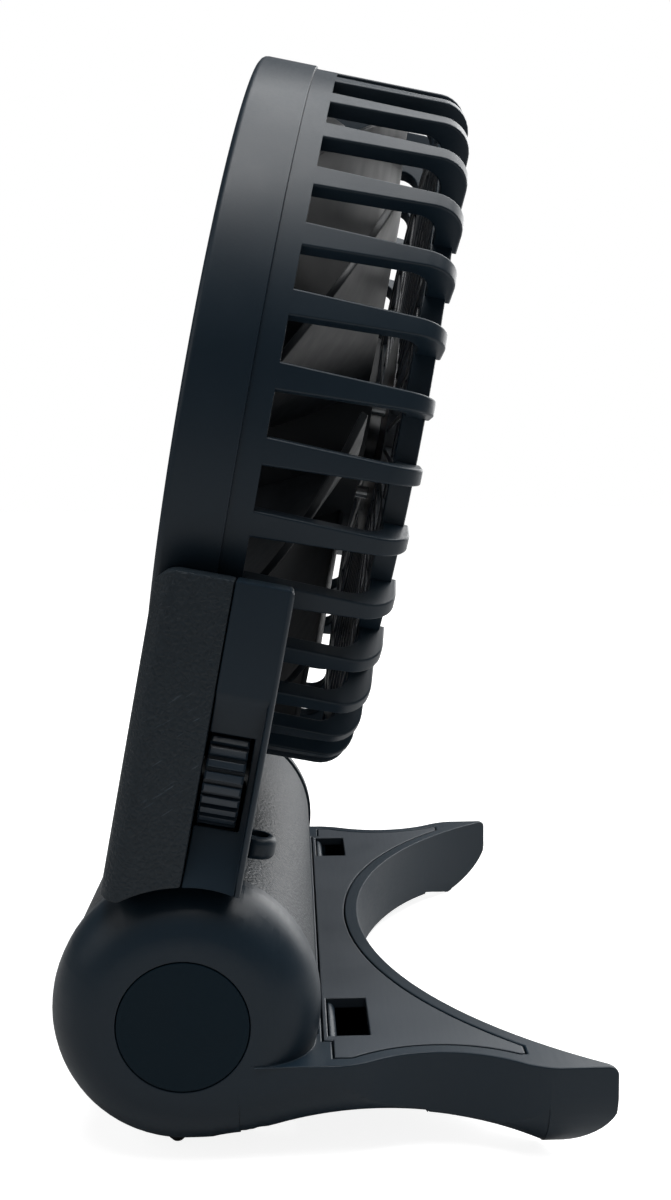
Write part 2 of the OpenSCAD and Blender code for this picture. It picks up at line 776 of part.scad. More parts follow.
module rear_cage() color(charcoal) fan_frame() {
    tube([cage_r - band_wall, cage_r], [band_s0, slot_s0]);
    tube([rim_in_r, rim_out_r], [rim_s0, rim_s1]);
    for (i = [0:rib_count - 1]) rotate([0, 0, rib_phase + i * 360 / rib_count]) rib();
}

module rear_grille() color(graphite) fan_frame() difference() {
    union() {
        tube([grille_collar, rim_in_r - fit_gap], [hub_s0, rim_s1]);
        tube([guard_ring_r, guard_ring_r + guard_ring_w], [hub_s0 + 0.4, rim_s1 - 0.4]);
        for (i = [0:guard_fins - 1]) rotate([0, 0, rib_phase + i * 360 / guard_fins])
            block([grille_hub_r - 1, grille_collar + 0.5], [-guard_fin_t / 2, guard_fin_t / 2],
                [hub_s0 + 0.2, rim_s1 - 0.2]);
        translate([0, 0, hub_s0]) cylinder(r = grille_hub_r, h = hub_s1 - hub_s0);
        translate([0, 0, boss_s0]) cylinder(r = boss_out, h = hub_s0 - boss_s0 + 1);
    }
    translate([0, 0, boss_s0 - 1]) cylinder(r = boss_in, h = hub_s0 - boss_s0 + 0.8);
    translate([0, 0, hub_s1]) cylinder(r = grille_hub_r + fit_gap, h = far);
    for (i = [0:2]) rotate([0, 0, 120 * i]) translate([motor_screw_r, 0, hub_s0 - 1])
        cylinder(r = 1.05, h = 9);
}

module rear_hub_cap() color(cap_black) fan_frame() {
    rotate_extrude() difference() {
        intersection() {
            soft_rect([-grille_hub_r, grille_hub_r], [hub_s1 + 0.02, rim_s1 + 0.4], [0, 0, 1, 1]);
            square(far);
        }
        square([motor_screw_r + 3, hub_s1 + 0.9]);
    }
}

module motor_screws() color(steel) fan_frame() for (i = [0:2]) rotate([0, 0, 120 * i])
    translate([motor_screw_r, 0, 0]) {
        translate([0, 0, core_s[1] - 2]) cylinder(r = 1, h = hub_s1 - core_s[1] + 2 + 0.05);
        translate([0, 0, hub_s1 + 0.02]) cylinder(r = 1.9, h = 0.7);
    }

module motor_stator() color(steel) fan_frame() difference() {
    translate([0, 0, core_s[0]]) cylinder(r = core_r, h = core_s[1] - core_s[0]);
    translate([0, 0, 0]) cylinder(r = boss_out + 0.02, h = far);
    for (i = [0:8]) rotate([0, 0, 20 + 40 * i])
        block([6, far], [-0.6, 0.6], [0, far]);
    for (i = [0:2]) rotate([0, 0, 120 * i]) translate([motor_screw_r, 0, 0])
        cylinder(r = 1.02, h = far);
}

module motor_windings() color(copper) fan_frame() difference() {
    for (s = [[core_s[0] - 1.5, core_s[0] - 0.02], [core_s[1] + 0.02, core_s[1] + 1.5]])
        tube([boss_out + 0.4, core_r - 0.6], s);
    for (i = [0:2]) rotate([0, 0, 120 * i]) translate([motor_screw_r, 0, 0])
        cylinder(r = 1.2, h = far);
}

module motor_bearing() color("#b08d57") fan_frame()
    tube([bearing_in, boss_in - 0.02], [boss_s0 + 0.3, hub_s0 - 0.6]);

module motor_shaft() color(steel) fan_frame()
    translate([0, 0, cup_s[0] + 0.6]) cylinder(r = shaft_r, h = hub_s0 - cup_s[0] - 1);

module rotor_yoke() color(steel) fan_frame() tube(yoke_r, yoke_s);

module rotor_magnet() color(rubber_black) fan_frame() tube(magnet_r, magnet_s);

// One blade: sections from root to tip, each run from the leading edge at the rear to the
// trailing edge at the front
blade_rows = 7;
blade_cols = 8;
blade_root_r = hub_r - 0.8;
function blade_r(i) = blade_root_r + (blade_tip_r - blade_root_r) * i / blade_rows;
function blade_share(i) = i / blade_rows;
function blade_span(i) = 38 - blade_share(i);
function blade_lead(i) = 40.5 - 12 * pow(blade_share(i), 1.4);
function blade_s_lead(i) = 24.6 - 1.2 * blade_share(i);
function blade_s_trail(i) = 8.6 + 1.6 * blade_share(i);
function blade_t(t) = 0.7 + 0.9 * sin(180 * t);
function blade_point(i, j, side) =
    let (t = j / blade_cols)
    let (a = blade_lead(i) + blade_span(i) * t)
    let (s = blade_s_lead(i) + (blade_s_trail(i) - blade_s_lead(i)) * (t - 0.1 * sin(180 * t)))
    [blade_r(i) * cos(a), blade_r(i) * sin(a), s + side * blade_t(t) / 2];
blade_points = [for (side = [1, -1], i = [0:blade_rows], j = [0:blade_cols]) blade_point(i, j, side)];
function blade_id(side, i, j) = (side * (blade_rows + 1) + i) * (blade_cols + 1) + j;
function two(a, b, c, d) = [[a, b, c], [a, c, d]];
blade_faces = [
    for (i = [0:blade_rows - 1], j = [0:blade_cols - 1]) each
        two(blade_id(0, i, j), blade_id(0, i, j + 1), blade_id(0, i + 1, j + 1), blade_id(0, i + 1, j)),
    for (i = [0:blade_rows - 1], j = [0:blade_cols - 1]) each
        two(blade_id(1, i, j), blade_id(1, i + 1, j), blade_id(1, i + 1, j + 1), blade_id(1, i, j + 1)),
    for (i = [0:blade_rows - 1]) each
        two(blade_id(0, i, 0), blade_id(0, i + 1, 0), blade_id(1, i + 1, 0), blade_id(1, i, 0)),
    for (i = [0:blade_rows - 1]) each
        two(blade_id(0, i + 1, blade_cols), blade_id(0, i, blade_cols),
            blade_id(1, i, blade_cols), blade_id(1, i + 1, blade_cols)),
    for (j = [0:blade_cols - 1]) each
        two(blade_id(0, 0, j + 1), blade_id(0, 0, j), blade_id(1, 0, j), blade_id(1, 0, j + 1)),
    for (j = [0:blade_cols - 1]) each
        two(blade_id(0, blade_rows, j), blade_id(0, blade_rows, j + 1),
            blade_id(1, blade_rows, j + 1), blade_id(1, blade_rows, j))
];

module impeller() color(graphite) fan_frame() {
    difference() {
        rotate_extrude() intersection() {
            soft_rect([-hub_r, hub_r], cup_s, [2, 2, 0, 0]);
            square(far);
        }
        translate([0, 0, cup_s[0] + cup_front]) cylinder(r = cup_in, h = far);
        cylinder(r = shaft_r + 0.02, h = far);
    }
    difference() {
        translate([0, 0, cup_s[0] + 0.4]) cylinder(r = shaft_boss_r, h = boss_s0 - cup_s[0] - 0.8);
        cylinder(r = shaft_r + 0.02, h = far);
    }
    for (i = [0:blade_count - 1]) rotate([0, 0, i * 360 / blade_count])
        polyhedron(blade_points, blade_faces);
}

base_frame();
base_plate();
hinge_cap_near();
hinge_cap_far();
hinge_pins();
hinge_screws();
friction_washers();
rubber_feet();
barrel_shell();
barrel_end_near();
barrel_end_far();
battery_cell();
battery_cradle();
front_cover();
control_housing();
housing_screws();
catch_loops();
circuit_board();
wheel_encoder();
wheel_axle();
speed_wheel();
charge_port();
charge_board();
front_ring();
front_grille();
grille_cap();
rear_cage();
rear_grille();
rear_hub_cap();
motor_screws();
motor_stator();
motor_windings();
motor_bearing();
motor_shaft();
rotor_yoke();
rotor_magnet();
impeller();
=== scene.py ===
"""Looks of a folding handheld fan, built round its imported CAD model.

The fan stands on its crescent base, with the air outlet to the left and the air inlet to the right.
Places of objects are in metres, in the frame of the CAD model. Sizes of pieces are in millimetres.
"""

import json
import logging
import math
from dataclasses import dataclass
from enum import Enum
from typing import Any, Callable

import bmesh
import bpy
from mathutils import Matrix, Vector


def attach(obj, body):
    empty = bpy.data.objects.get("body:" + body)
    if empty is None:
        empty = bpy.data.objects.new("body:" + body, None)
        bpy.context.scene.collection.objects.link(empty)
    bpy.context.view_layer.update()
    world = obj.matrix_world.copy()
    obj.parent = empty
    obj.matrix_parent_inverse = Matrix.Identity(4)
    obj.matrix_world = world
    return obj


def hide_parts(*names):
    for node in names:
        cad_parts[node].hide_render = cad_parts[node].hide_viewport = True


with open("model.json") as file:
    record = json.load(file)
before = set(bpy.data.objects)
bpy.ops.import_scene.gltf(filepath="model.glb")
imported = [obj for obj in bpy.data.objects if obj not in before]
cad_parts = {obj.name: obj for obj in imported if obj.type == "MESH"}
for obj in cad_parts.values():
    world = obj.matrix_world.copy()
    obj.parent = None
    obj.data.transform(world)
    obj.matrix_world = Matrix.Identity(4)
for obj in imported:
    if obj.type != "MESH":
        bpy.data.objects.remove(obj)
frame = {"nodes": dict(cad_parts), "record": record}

BMesh = bmesh.types.BMesh
Outline = list[tuple[float, float]]
Pick = Callable[[Vector, Vector], bool]
Socket = bpy.types.NodeSocket
Tree = bpy.types.NodeTree
Triple = tuple[float, float, float]

MM = 0.001
LOG = logging.getLogger("fan")
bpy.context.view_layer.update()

# The hinge axis, the tilt of the body on it, and the fan's axis above it
HINGE = Vector((-19.1 * MM, 0, 19.4 * MM))
TILT = math.radians(11)
HEAD_UP = 80.5 * MM
HEAD_FRONT = 14.4 * MM

# In millimetres: gaps that are welded in drawn and CAD pieces, and how near places count as one
WELD_MM = 0.001
CAD_WELD_MM = 0.02
NEAR_MM = 0.1
# In degrees: up to where CAD faces join, and from where edges are sharp in drawn pieces, are sharp
# in CAD pieces, and shade hard
FLAT = 0.4
SHARP = 30.0
CAD_SHARP = 36.0
HARD = 40.0
# Steps round a full turn of a large, a middling and a small ring
FINE, EVEN, COARSE = 192, 144, 96


def body_matrix() -> Matrix:
    """Places the body's own directions, x towards the inlet and z up along it, in the CAD frame."""
    return Matrix.Translation(HINGE) @ Matrix.Rotation(TILT, 4, "Y")


def head_matrix() -> Matrix:
    """Places the head's own directions, z from its front edge to the inlet, in the CAD frame."""
    start = Matrix.Translation(Vector((-HEAD_FRONT, 0, HEAD_UP)))
    return body_matrix() @ start @ Matrix.Rotation(math.pi / 2, 4, "Y")


def slot_of(node: str) -> str:
    """Returns the material slot that the record gives a CAD node."""
    slots = {s["node"]: s["material_slot"] for s in frame["record"]["subparts"]}
    return slots[node]


# Shader nodes


def linear(hex_colour: str) -> tuple[float, float, float, float]:
    """Turns an sRGB hex colour to linear light.

    Args:
        hex_colour: a colour such as "#1f2730".

    Returns:
        Red, green, blue and an alpha of 1.
    """
    values = [int(hex_colour[i : i + 2], 16) / 255 for i in (1, 3, 5)]
    light = [v / 12.92 if v <= 0.04045 else ((v + 0.055) / 1.055) ** 2.4 for v in values]
    return (*light, 1.0)


def add_node(
    tree: Tree,
    kind: str,
    settings: dict[str, Any] | None = None,
    inputs: dict[str | int, Any] | None = None,
) -> bpy.types.Node:
    """Adds a shader node, sets it up and links it.

    Args:
        tree: the node tree of a material or the world.
        kind: the node's type, without its ShaderNode prefix.
        settings: the node's attributes and their values.
        inputs: what each socket gets, by name or number: another node's socket or a value.

    Returns:
        The new node.
    """
    node = tree.nodes.new("ShaderNode" + kind)
    for key, value in (settings or {}).items():
        setattr(node, key, value)
    for key, value in (inputs or {}).items():
        if isinstance(value, Socket):
            tree.links.new(value, node.inputs[key])
        else:
            node.inputs[key].default_value = value
    return node


def maths(tree: Tree, operation: str, first: Socket, second: Socket) -> Socket:
    """Combines two values and returns the result's socket."""
    return add_node(tree, "Math", {"operation": operation}, {0: first, 1: second}).outputs[0]


def spread(
    tree: Tree,
    value: Socket,
    start: tuple[float, float],
    end: tuple[float, float] = (0.0, 1.0),
    ease: str = "LINEAR",
) -> Socket:
    """Runs from one pair of values to another, and stays at its ends beyond them.

    Args:
        tree: the node tree.
        value: the value that drives the run.
        start: that value at both ends of the run.
        end: the result at both ends.
        ease: the kind of run between them.

    Returns:
        The result's socket.
    """
    return add_node(
        tree,
        "MapRange",
        {"clamp": True, "interpolation_type": ease},
        {"Value": value, 1: start[0], 2: start[1], 3: end[0], 4: end[1]},
    ).outputs[0]


# Mesh tools. Sizes are in millimetres, and outlines lie in radius and depth about the fan's axis


def turned(bm: BMesh, outline: Outline, steps: int = EVEN) -> None:
    """Turns a closed outline about Z.

    Args:
        bm: the mesh that gets the ring.
        outline: its corners as radius and depth.
        steps: how many steps go round.
    """
    verts = [bm.verts.new((r * MM, 0, s * MM)) for r, s in outline]
    edges = [bm.edges.new((a, b)) for a, b in zip(verts, verts[1:] + verts[:1])]
    bmesh.ops.spin(
        bm,
        geom=verts + edges,
        cent=(0, 0, 0),
        axis=(0, 0, 1),
        dvec=(0, 0, 0),
        angle=2 * math.pi,
        steps=steps,
        use_merge=True,
        use_duplicate=False,
    )
    bmesh.ops.remove_doubles(bm, verts=bm.verts, dist=WELD_MM * MM)
    bmesh.ops.recalc_face_normals(bm, faces=bm.faces)


def rectangle(inner: float, outer: float, front: float, rear: float) -> Outline:
    """Returns the outline of a plain ring or bar between two radii and two depths."""
    return [(inner, front), (outer, front), (outer, rear), (inner, rear)]


def pressed(bm: BMesh, outline: Outline, thick: float) -> None:
    """Makes a plate of an outline in X and Z, thick along Y and centred on it."""
    verts = [bm.verts.new((x * MM, -thick / 2 * MM, z * MM)) for x, z in outline]
    face = bm.faces.new(verts)
    made = bmesh.ops.extrude_face_region(bm, geom=[face])["geom"]
    moved = [v for v in made if isinstance(v, bmesh.types.BMVert)]
    bmesh.ops.translate(bm, verts=moved, vec=(0, thick * MM, 0))
    bmesh.ops.recalc_face_normals(bm, faces=bm.faces)


def sliced(bm: BMesh, place: Triple, normal: Triple) -> None:
    """Cuts a whole mesh's faces along a plane, without parting them."""
    bmesh.ops.bisect_plane(
        bm,
        geom=list(bm.verts) + list(bm.edges) + list(bm.faces),
        plane_co=place,
        plane_no=normal,
    )


def soften(
    bm: BMesh,
    width: float,
    segments: int = 2,
    pick: Pick | None = None,
    sharp: float = SHARP,
) -> None:
    """Rounds the sharp edges of a mesh.

    Args:
        bm: the mesh.
        width: the width of the rounding.
        segments: its number of steps.
        pick: says from an edge's two ends, in millimetres, whether it takes part. All do without.
        sharp: the angle in degrees from which an edge is sharp.
    """
    edges = [
        e
        for e in bm.edges
        if len(e.link_faces) == 2
        and e.calc_face_angle(0) > math.radians(sharp)
        and (pick is None or pick(e.verts[0].co / MM, e.verts[1].co / MM))
    ]
    bmesh.ops.bevel(
        bm,
        geom=edges,
        offset=width * MM,
        offset_type="OFFSET",
        segments=segments,
        profile=0.5,
        affect="EDGES",
        clamp_overlap=False,
        material=-1,
    )


def ring_of(bm: BMesh, count: int, phase: float = 0.0) -> None:
    """Repeats the whole mesh count times round Z, the first one turned by phase degrees."""
    bmesh.ops.rotate(bm, verts=bm.verts, matrix=Matrix.Rotation(math.radians(phase), 3, "Z"))
    geom = list(bm.verts) + list(bm.edges) + list(bm.faces)
    bmesh.ops.spin(
        bm,
        geom=geom,
        cent=(0, 0, 0),
        axis=(0, 0, 1),
        dvec=(0, 0, 0),
        angle=2 * math.pi * (count - 1) / count,
        steps=count - 1,
        use_merge=False,
        use_duplicate=True,
    )


def joined(*parts: BMesh) -> BMesh:
    """Puts several meshes into the first one and returns it."""
    whole = parts[0]
    for part in parts[1:]:
        mesh = bpy.data.meshes.new("part")
        part.to_mesh(mesh)
        part.free()
        whole.from_mesh(mesh)
        bpy.data.meshes.remove(mesh)
    return whole


# Finishes. Sizes of patterns are real ones in millimetres


@dataclass(frozen=True)
class Finish:
    """A surface: what it is made of, and how."""

    name: str
    colour: str
    roughness: float
    ior: float = 1.5
    metallic: float = 0.0

    def material(self) -> bpy.types.Material:
        """Returns this finish's material, made at its first use."""
        found = bpy.data.materials.get(self.name)
        if found:
            return found
        made = bpy.data.materials.new(self.name)
        made.use_nodes = True
        tree = made.node_tree
        shader = tree.nodes["Principled BSDF"]
        shader.inputs["Base Color"].default_value = linear(self.colour)
        shader.inputs["Roughness"].default_value = self.roughness
        shader.inputs["Metallic"].default_value = self.metallic
        if not self.metallic:
            shader.inputs["IOR"].default_value = self.ior
        self.pattern(tree, shader)
        return made

    def pattern(self, tree: Tree, shader: bpy.types.Node) -> None:
        """Adds what the eye sees of the surface's texture. A plain finish has none."""

    def link(
        self,
        tree: Tree,
        shader: bpy.types.Node,
        colour: Socket,
        rough: Socket | None,
        normal: Socket,
    ) -> None:
        """Gives the shader a pattern's colour, roughness, if it varies, and normal."""
        tree.links.new(colour, shader.inputs["Base Color"])
        if rough is not None:
            tree.links.new(rough, shader.inputs["Roughness"])
        tree.links.new(normal, shader.inputs["Normal"])

    def place(self, tree: Tree, size_mm: Triple, turn: Triple = (0.0, 0.0, 0.0)) -> Socket:
        """Adds coordinates in which a pattern's repeat measures size_mm along each axis.

        Args:
            tree: the material's nodes.
            size_mm: the real size of one repeat.
            turn: how far the pattern is turned on the piece, in radians.

        Returns:
            The socket that gives the coordinates.
        """
        where = add_node(tree, "TexCoord").outputs["Object"]
        if any(turn):
            where = add_node(tree, "Mapping", None, {"Vector": where, "Rotation": turn}).outputs[0]
        scale = tuple(1000 / s for s in size_mm)
        return add_node(tree, "Mapping", None, {"Vector": where, "Scale": scale}).outputs[0]

    def noise(
        self, tree: Tree, size_mm: Triple, detail: float = 2.0, turn: Triple = (0.0, 0.0, 0.0)
    ) -> Socket:
        """Adds noise whose lumps measure size_mm and returns its value socket."""
        inputs = {"Vector": self.place(tree, size_mm, turn), "Scale": 1.0, "Detail": detail}
        return add_node(tree, "TexNoise", None, inputs).outputs["Fac"]

    def between(self, tree: Tree, value: Socket, low: float, high: float) -> Socket:
        """Spreads noise, which lies within 0.3..0.7, over low..high and returns the socket."""
        return spread(tree, value, (0.3, 0.7), (low, high))

    def tint(self, tree: Tree, value: Socket, darker: str, lighter: str) -> Socket:
        """Runs from one colour to another with a value and returns the colour socket."""
        inputs = {0: value, 6: linear(darker), 7: linear(lighter)}
        return add_node(tree, "Mix", {"data_type": "RGBA"}, inputs).outputs[2]

    def laid(self, tree: Tree, share: Socket, under: Socket, colour: str) -> Socket:
        """Lays a share of a colour over what is under it and returns the colour socket."""
        inputs = {0: share, 6: under, 7: linear(colour)}
        return add_node(tree, "Mix", {"data_type": "RGBA"}, inputs).outputs[2]

    def bump(
        self, tree: Tree, height: Socket, depth_mm: float, under: Socket | None = None
    ) -> Socket:
        """Raises the surface by depth_mm times a height and returns the normal socket."""
        inputs = {"Height": height, "Distance": depth_mm * MM, "Strength": 1.0}
        if under is not None:
            inputs["Normal"] = under
        return add_node(tree, "Bump", None, inputs).outputs[0]


@dataclass(frozen=True)
class SparkErodedAbs(Finish):
    """ABS moulded against a spark-eroded steel face: a dry satin with a fine even grit."""

    shade: str = "#262e36"
    grit_mm: float = 0.32
    grit_depth: float = 0.006
    cloud_mm: float = 14.0
    mark_mm: Triple = (0.5, 6.0, 0.5)
    mark_rub: float = 0.02

    def pattern(self, tree: Tree, shader: bpy.types.Node) -> None:
        """Grit, soft clouds in the sheen, and faint handling marks."""
        grit = self.noise(tree, (self.grit_mm,) * 3, 3.0)
        clouds = self.noise(tree, (self.cloud_mm,) * 3, 3.0)
        marks = self.noise(tree, self.mark_mm, 2.0)
        sheen = self.between(tree, clouds, self.roughness - 0.05, self.roughness + 0.04)
        rub = self.between(tree, marks, -self.mark_rub, self.mark_rub)
        self.link(
            tree,
            shader,
            self.tint(tree, clouds, self.colour, self.shade),
            maths(tree, "ADD", sheen, rub),
            self.bump(tree, grit, self.grit_depth),
        )


@dataclass(frozen=True)
class LeatherGrainPu(Finish):
    """Soft polyurethane skin embossed with a leather grain: pebbles of about a millimetre with
    creases between them, pale specks and fine pale scuffs."""

    shade: str = "#111c24"
    speck: str = "#242f37"
    scuff: str = "#4a5660"
    pebble_mm: float = 0.8
    pebble_drift: float = 0.7
    pebble_depth: float = 0.055
    crease: float = 0.32
    pore_mm: float = 0.3
    pore_depth: float = 0.016
    pore_rough: float = 0.09
    cloud_mm: float = 9.0
    speck_mm: float = 0.45
    speck_share: float = 0.34
    scuff_mm: Triple = (3.4, 1.6, 0.3)
    scuff_turn: Triple = (0.4, 0.5, 0.2)
    scuff_span: tuple[float, float] = (0.67, 0.73)
    scuff_patch: tuple[float, float] = (0.5, 0.62)
    scuff_share: float = 0.6

    def pattern(self, tree: Tree, shader: bpy.types.Node) -> None:
        """Pebbles that drift in size, creases, pores, specks, and scuffs that lie in patches."""
        pebble = self.pebbles(tree)
        pores = self.noise(tree, (self.pore_mm,) * 3, 2.0)
        clouds = self.noise(tree, (self.cloud_mm,) * 3, 3.0)
        streaks = self.noise(tree, self.scuff_mm, 1.0, self.scuff_turn)
        thin = spread(tree, streaks, self.scuff_span, (0.0, self.scuff_share))
        scuffs = maths(tree, "MULTIPLY", thin, spread(tree, clouds, self.scuff_patch))
        spots = self.noise(tree, (self.speck_mm,) * 3, 3.0)
        specks = self.between(tree, spots, 0.0, self.speck_share)
        base = self.tint(tree, clouds, self.colour, self.shade)
        grain = self.laid(tree, specks, base, self.speck)
        low, high = self.roughness - self.pore_rough, self.roughness + self.pore_rough
        raised = self.bump(tree, pebble, self.pebble_depth)
        self.link(
            tree,
            shader,
            self.laid(tree, scuffs, grain, self.scuff),
            self.between(tree, pores, low, high),
            self.bump(tree, pores, self.pore_depth, raised),
        )

    def pebbles(self, tree: Tree) -> Socket:
        """Adds the pebbles and the creases round them, and returns the socket of their height."""
        where = self.place(tree, (self.pebble_mm,) * 3)
        inputs = {"Vector": where, "Scale": self.pebble_drift, "Detail": 2.0}
        drift = add_node(tree, "TexNoise", None, inputs).outputs["Color"]
        moved = add_node(tree, "VectorMath", {"operation": "ADD"}, {0: where, 1: drift}).outputs[0]
        cells = add_node(
            tree, "TexVoronoi", {"feature": "DISTANCE_TO_EDGE"}, {"Vector": moved, "Scale": 1.0}
        ).outputs["Distance"]
        return spread(tree, cells, (0.0, self.crease), ease="SMOOTHSTEP")


@dataclass(frozen=True)
class MouldedNylon(Finish):
    """Nylon moulded against a vapour-honed face: half-glossy, with faint flow lines."""

    shade: str = "#3a3e42"
    flow_mm: Triple = (2.5, 2.5, 18.0)
    peel_mm: float = 1.1
    peel_depth: float = 0.004

    def pattern(self, tree: Tree, shader: bpy.types.Node) -> None:
        """Flow lines in the sheen and a fine orange peel."""
        flow = self.noise(tree, self.flow_mm, 2.0)
        peel = self.noise(tree, (self.peel_mm,) * 3, 2.0)
        self.link(
            tree,
            shader,
            self.tint(tree, flow, self.colour, self.shade),
            self.between(tree, flow, self.roughness - 0.05, self.roughness + 0.06),
            self.bump(tree, peel, self.peel_depth),
        )


@dataclass(frozen=True)
class TurnedSteel(Finish):
    """Steel turned on a lathe and zinc plated: fine rings and a soft grey lustre."""

    shade: str = "#d4d8da"
    ring_mm: Triple = (0.25, 8.0, 0.25)
    ring_depth: float = 0.008
    stain_mm: float = 3.0

    def pattern(self, tree: Tree, shader: bpy.types.Node) -> None:
        """Tool rings a quarter of a millimetre apart and stains in the plating."""
        rings = self.noise(tree, self.ring_mm, 2.0)
        stain = self.noise(tree, (self.stain_mm,) * 3, 3.0)
        self.link(
            tree,
            shader,
            self.tint(tree, stain, self.colour, self.shade),
            self.between(tree, rings, self.roughness - 0.08, self.roughness + 0.1),
            self.bump(tree, rings, self.ring_depth),
        )


@dataclass(frozen=True)
class WoundCopper(Finish):
    """Enamelled copper wire wound in layers: fine parallel turns with a varnish gloss."""

    shade: str = "#c87a48"
    wire_mm: float = 0.25
    wire_depth: float = 0.05

    def pattern(self, tree: Tree, shader: bpy.types.Node) -> None:
        """Turns of thin wire."""
        where = self.place(tree, (self.wire_mm,) * 3)
        inputs = {"Vector": where, "Scale": 0.16, "Distortion": 0.4}
        turns = add_node(tree, "TexWave", {"wave_type": "RINGS"}, inputs).outputs["Fac"]
        colour = self.tint(tree, turns, self.colour, self.shade)
        self.link(tree, shader, colour, None, self.bump(tree, turns, self.wire_depth))


@dataclass(frozen=True)
class CastRubber(Finish):
    """Silicone rubber cast in a matt mould: dead matt, with dust in its pores."""

    shade: str = "#2a2c2e"
    dust_mm: float = 0.6
    dust_depth: float = 0.02

    def pattern(self, tree: Tree, shader: bpy.types.Node) -> None:
        """Dust and pores."""
        dust = self.noise(tree, (self.dust_mm,) * 3, 4.0)
        colour = self.tint(tree, dust, self.colour, self.shade)
        self.link(tree, shader, colour, None, self.bump(tree, dust, self.dust_depth))


@dataclass(frozen=True)
class SolderMask(Finish):
    """Glass-epoxy board under green solder mask: glossy, with copper traces under it."""

    shade: str = "#2c7a50"
    trace_mm: float = 1.1
    trace_width: float = 0.06
    trace_depth: float = 0.02

    def pattern(self, tree: Tree, shader: bpy.types.Node) -> None:
        """Traces about a millimetre apart."""
        where = self.place(tree, (self.trace_mm,) * 3)
        inputs = {"Vector": where, "Scale": 1.0, "Mortar Size": self.trace_width}
        traces = add_node(tree, "TexBrick", None, inputs).outputs["Fac"]
        colour = self.tint(tree, traces, self.colour, self.shade)
        self.link(tree, shader, colour, None, self.bump(tree, traces, self.trace_depth))


@dataclass(frozen=True)
class ShrinkSleeve(Finish):
    """PVC sleeve shrunk on a steel can: glossy, with slight waves where it drew in."""

    shade: str = "#3c5a90"
    wave_mm: Triple = (5.0, 2.0, 5.0)
    wave_depth: float = 0.06

    def pattern(self, tree: Tree, shader: bpy.types.Node) -> None:
        """Waves a few millimetres long."""
        waves = self.noise(tree, self.wave_mm, 1.0)
        colour = self.tint(tree, waves, self.colour, self.shade)
        self.link(tree, shader, colour, None, self.bump(tree, waves, self.wave_depth))


# Base, housing, loops, ring and cage: ABS from a spark-eroded mould
SHELL = SparkErodedAbs("satin_moulded_abs", "#0f1c26", 0.42, ior=1.36, shade="#13232e")
# Base plate and barrel ends: ABS from a mould with a finer grit
PLATE = SparkErodedAbs("fine_satin_moulded_abs", "#252c33", 0.44, shade="#2e363e", grit_mm=0.25)
# Hinge and hub caps: deeper coloured ABS from a spark-eroded mould
CAP = SparkErodedAbs("deep_satin_moulded_abs", "#04161f", 0.5, ior=1.22, shade="#061b26")
# Front cover and barrel: polyurethane skin embossed by a grained roller
SKIN = LeatherGrainPu("leather_grained_polyurethane", "#0a161d", 0.52, ior=1.4)
# Speed wheel: ABS moulded with its ridges
WHEEL = SparkErodedAbs("ridged_moulded_abs", "#16212b", 0.38, shade="#1d2a35")
# Both guards: injection-moulded nylon
GUARD = MouldedNylon("moulded_guard_nylon", "#1f2429", 0.32, shade="#282d33")
# Impeller: injection-moulded nylon, darker than that of the guards
BLADE = MouldedNylon("moulded_blade_nylon", "#13171b", 0.42, ior=1.42, shade="#191e23")
# Feet: cast silicone rubber
RUBBER = CastRubber("cast_silicone_rubber", "#17191b", 0.85)
# The wheel's axle: turned steel given a near-black colour as painted shade, for the gap by the
# wheel where it shows
GAP_SHADE_STEEL = TurnedSteel("steel_painted_dark_as_gap_shade", "#1c1f22", 0.45, metallic=0.9)
# Pins, screws and motor steel: turned or pressed, and zinc plated
STEEL = TurnedSteel("turned_zinc_plated_steel", "#b6babd", 0.34, metallic=1.0)
# Motor windings: copper wire in baked enamel
COPPER = WoundCopper("wound_enamelled_copper", "#9c5428", 0.3, metallic=0.8)
# Motor bearing: bronze powder, pressed and sintered
BRONZE = TurnedSteel("sintered_bronze", "#b08d57", 0.45, metallic=1.0)
# Rotor magnet: ferrite powder, pressed and fired
FERRITE = CastRubber("pressed_ferrite", "#26282a", 0.6)
# Boards: glass-epoxy laminate under printed solder mask
BOARD = SolderMask("green_solder_mask", "#14503a", 0.3)
# Battery cell: steel can in a heat-shrunk PVC sleeve
SLEEVE = ShrinkSleeve("shrunk_pvc_sleeve", "#2c4678", 0.25)


class Dress(Enum):
    """The finish of each material slot of the record."""

    satin_shell = SHELL
    grained_skin = SKIN
    plate_plastic = PLATE
    cap_plastic = CAP
    wheel_plastic = WHEEL
    guard_plastic = GUARD
    impeller_plastic = BLADE
    foot_rubber = RUBBER
    cell_sleeve = SLEEVE
    board = BOARD
    steel = STEEL
    copper_wire = COPPER
    bronze = BRONZE
    magnet = FERRITE


# Pieces. All their sizes are in millimetres


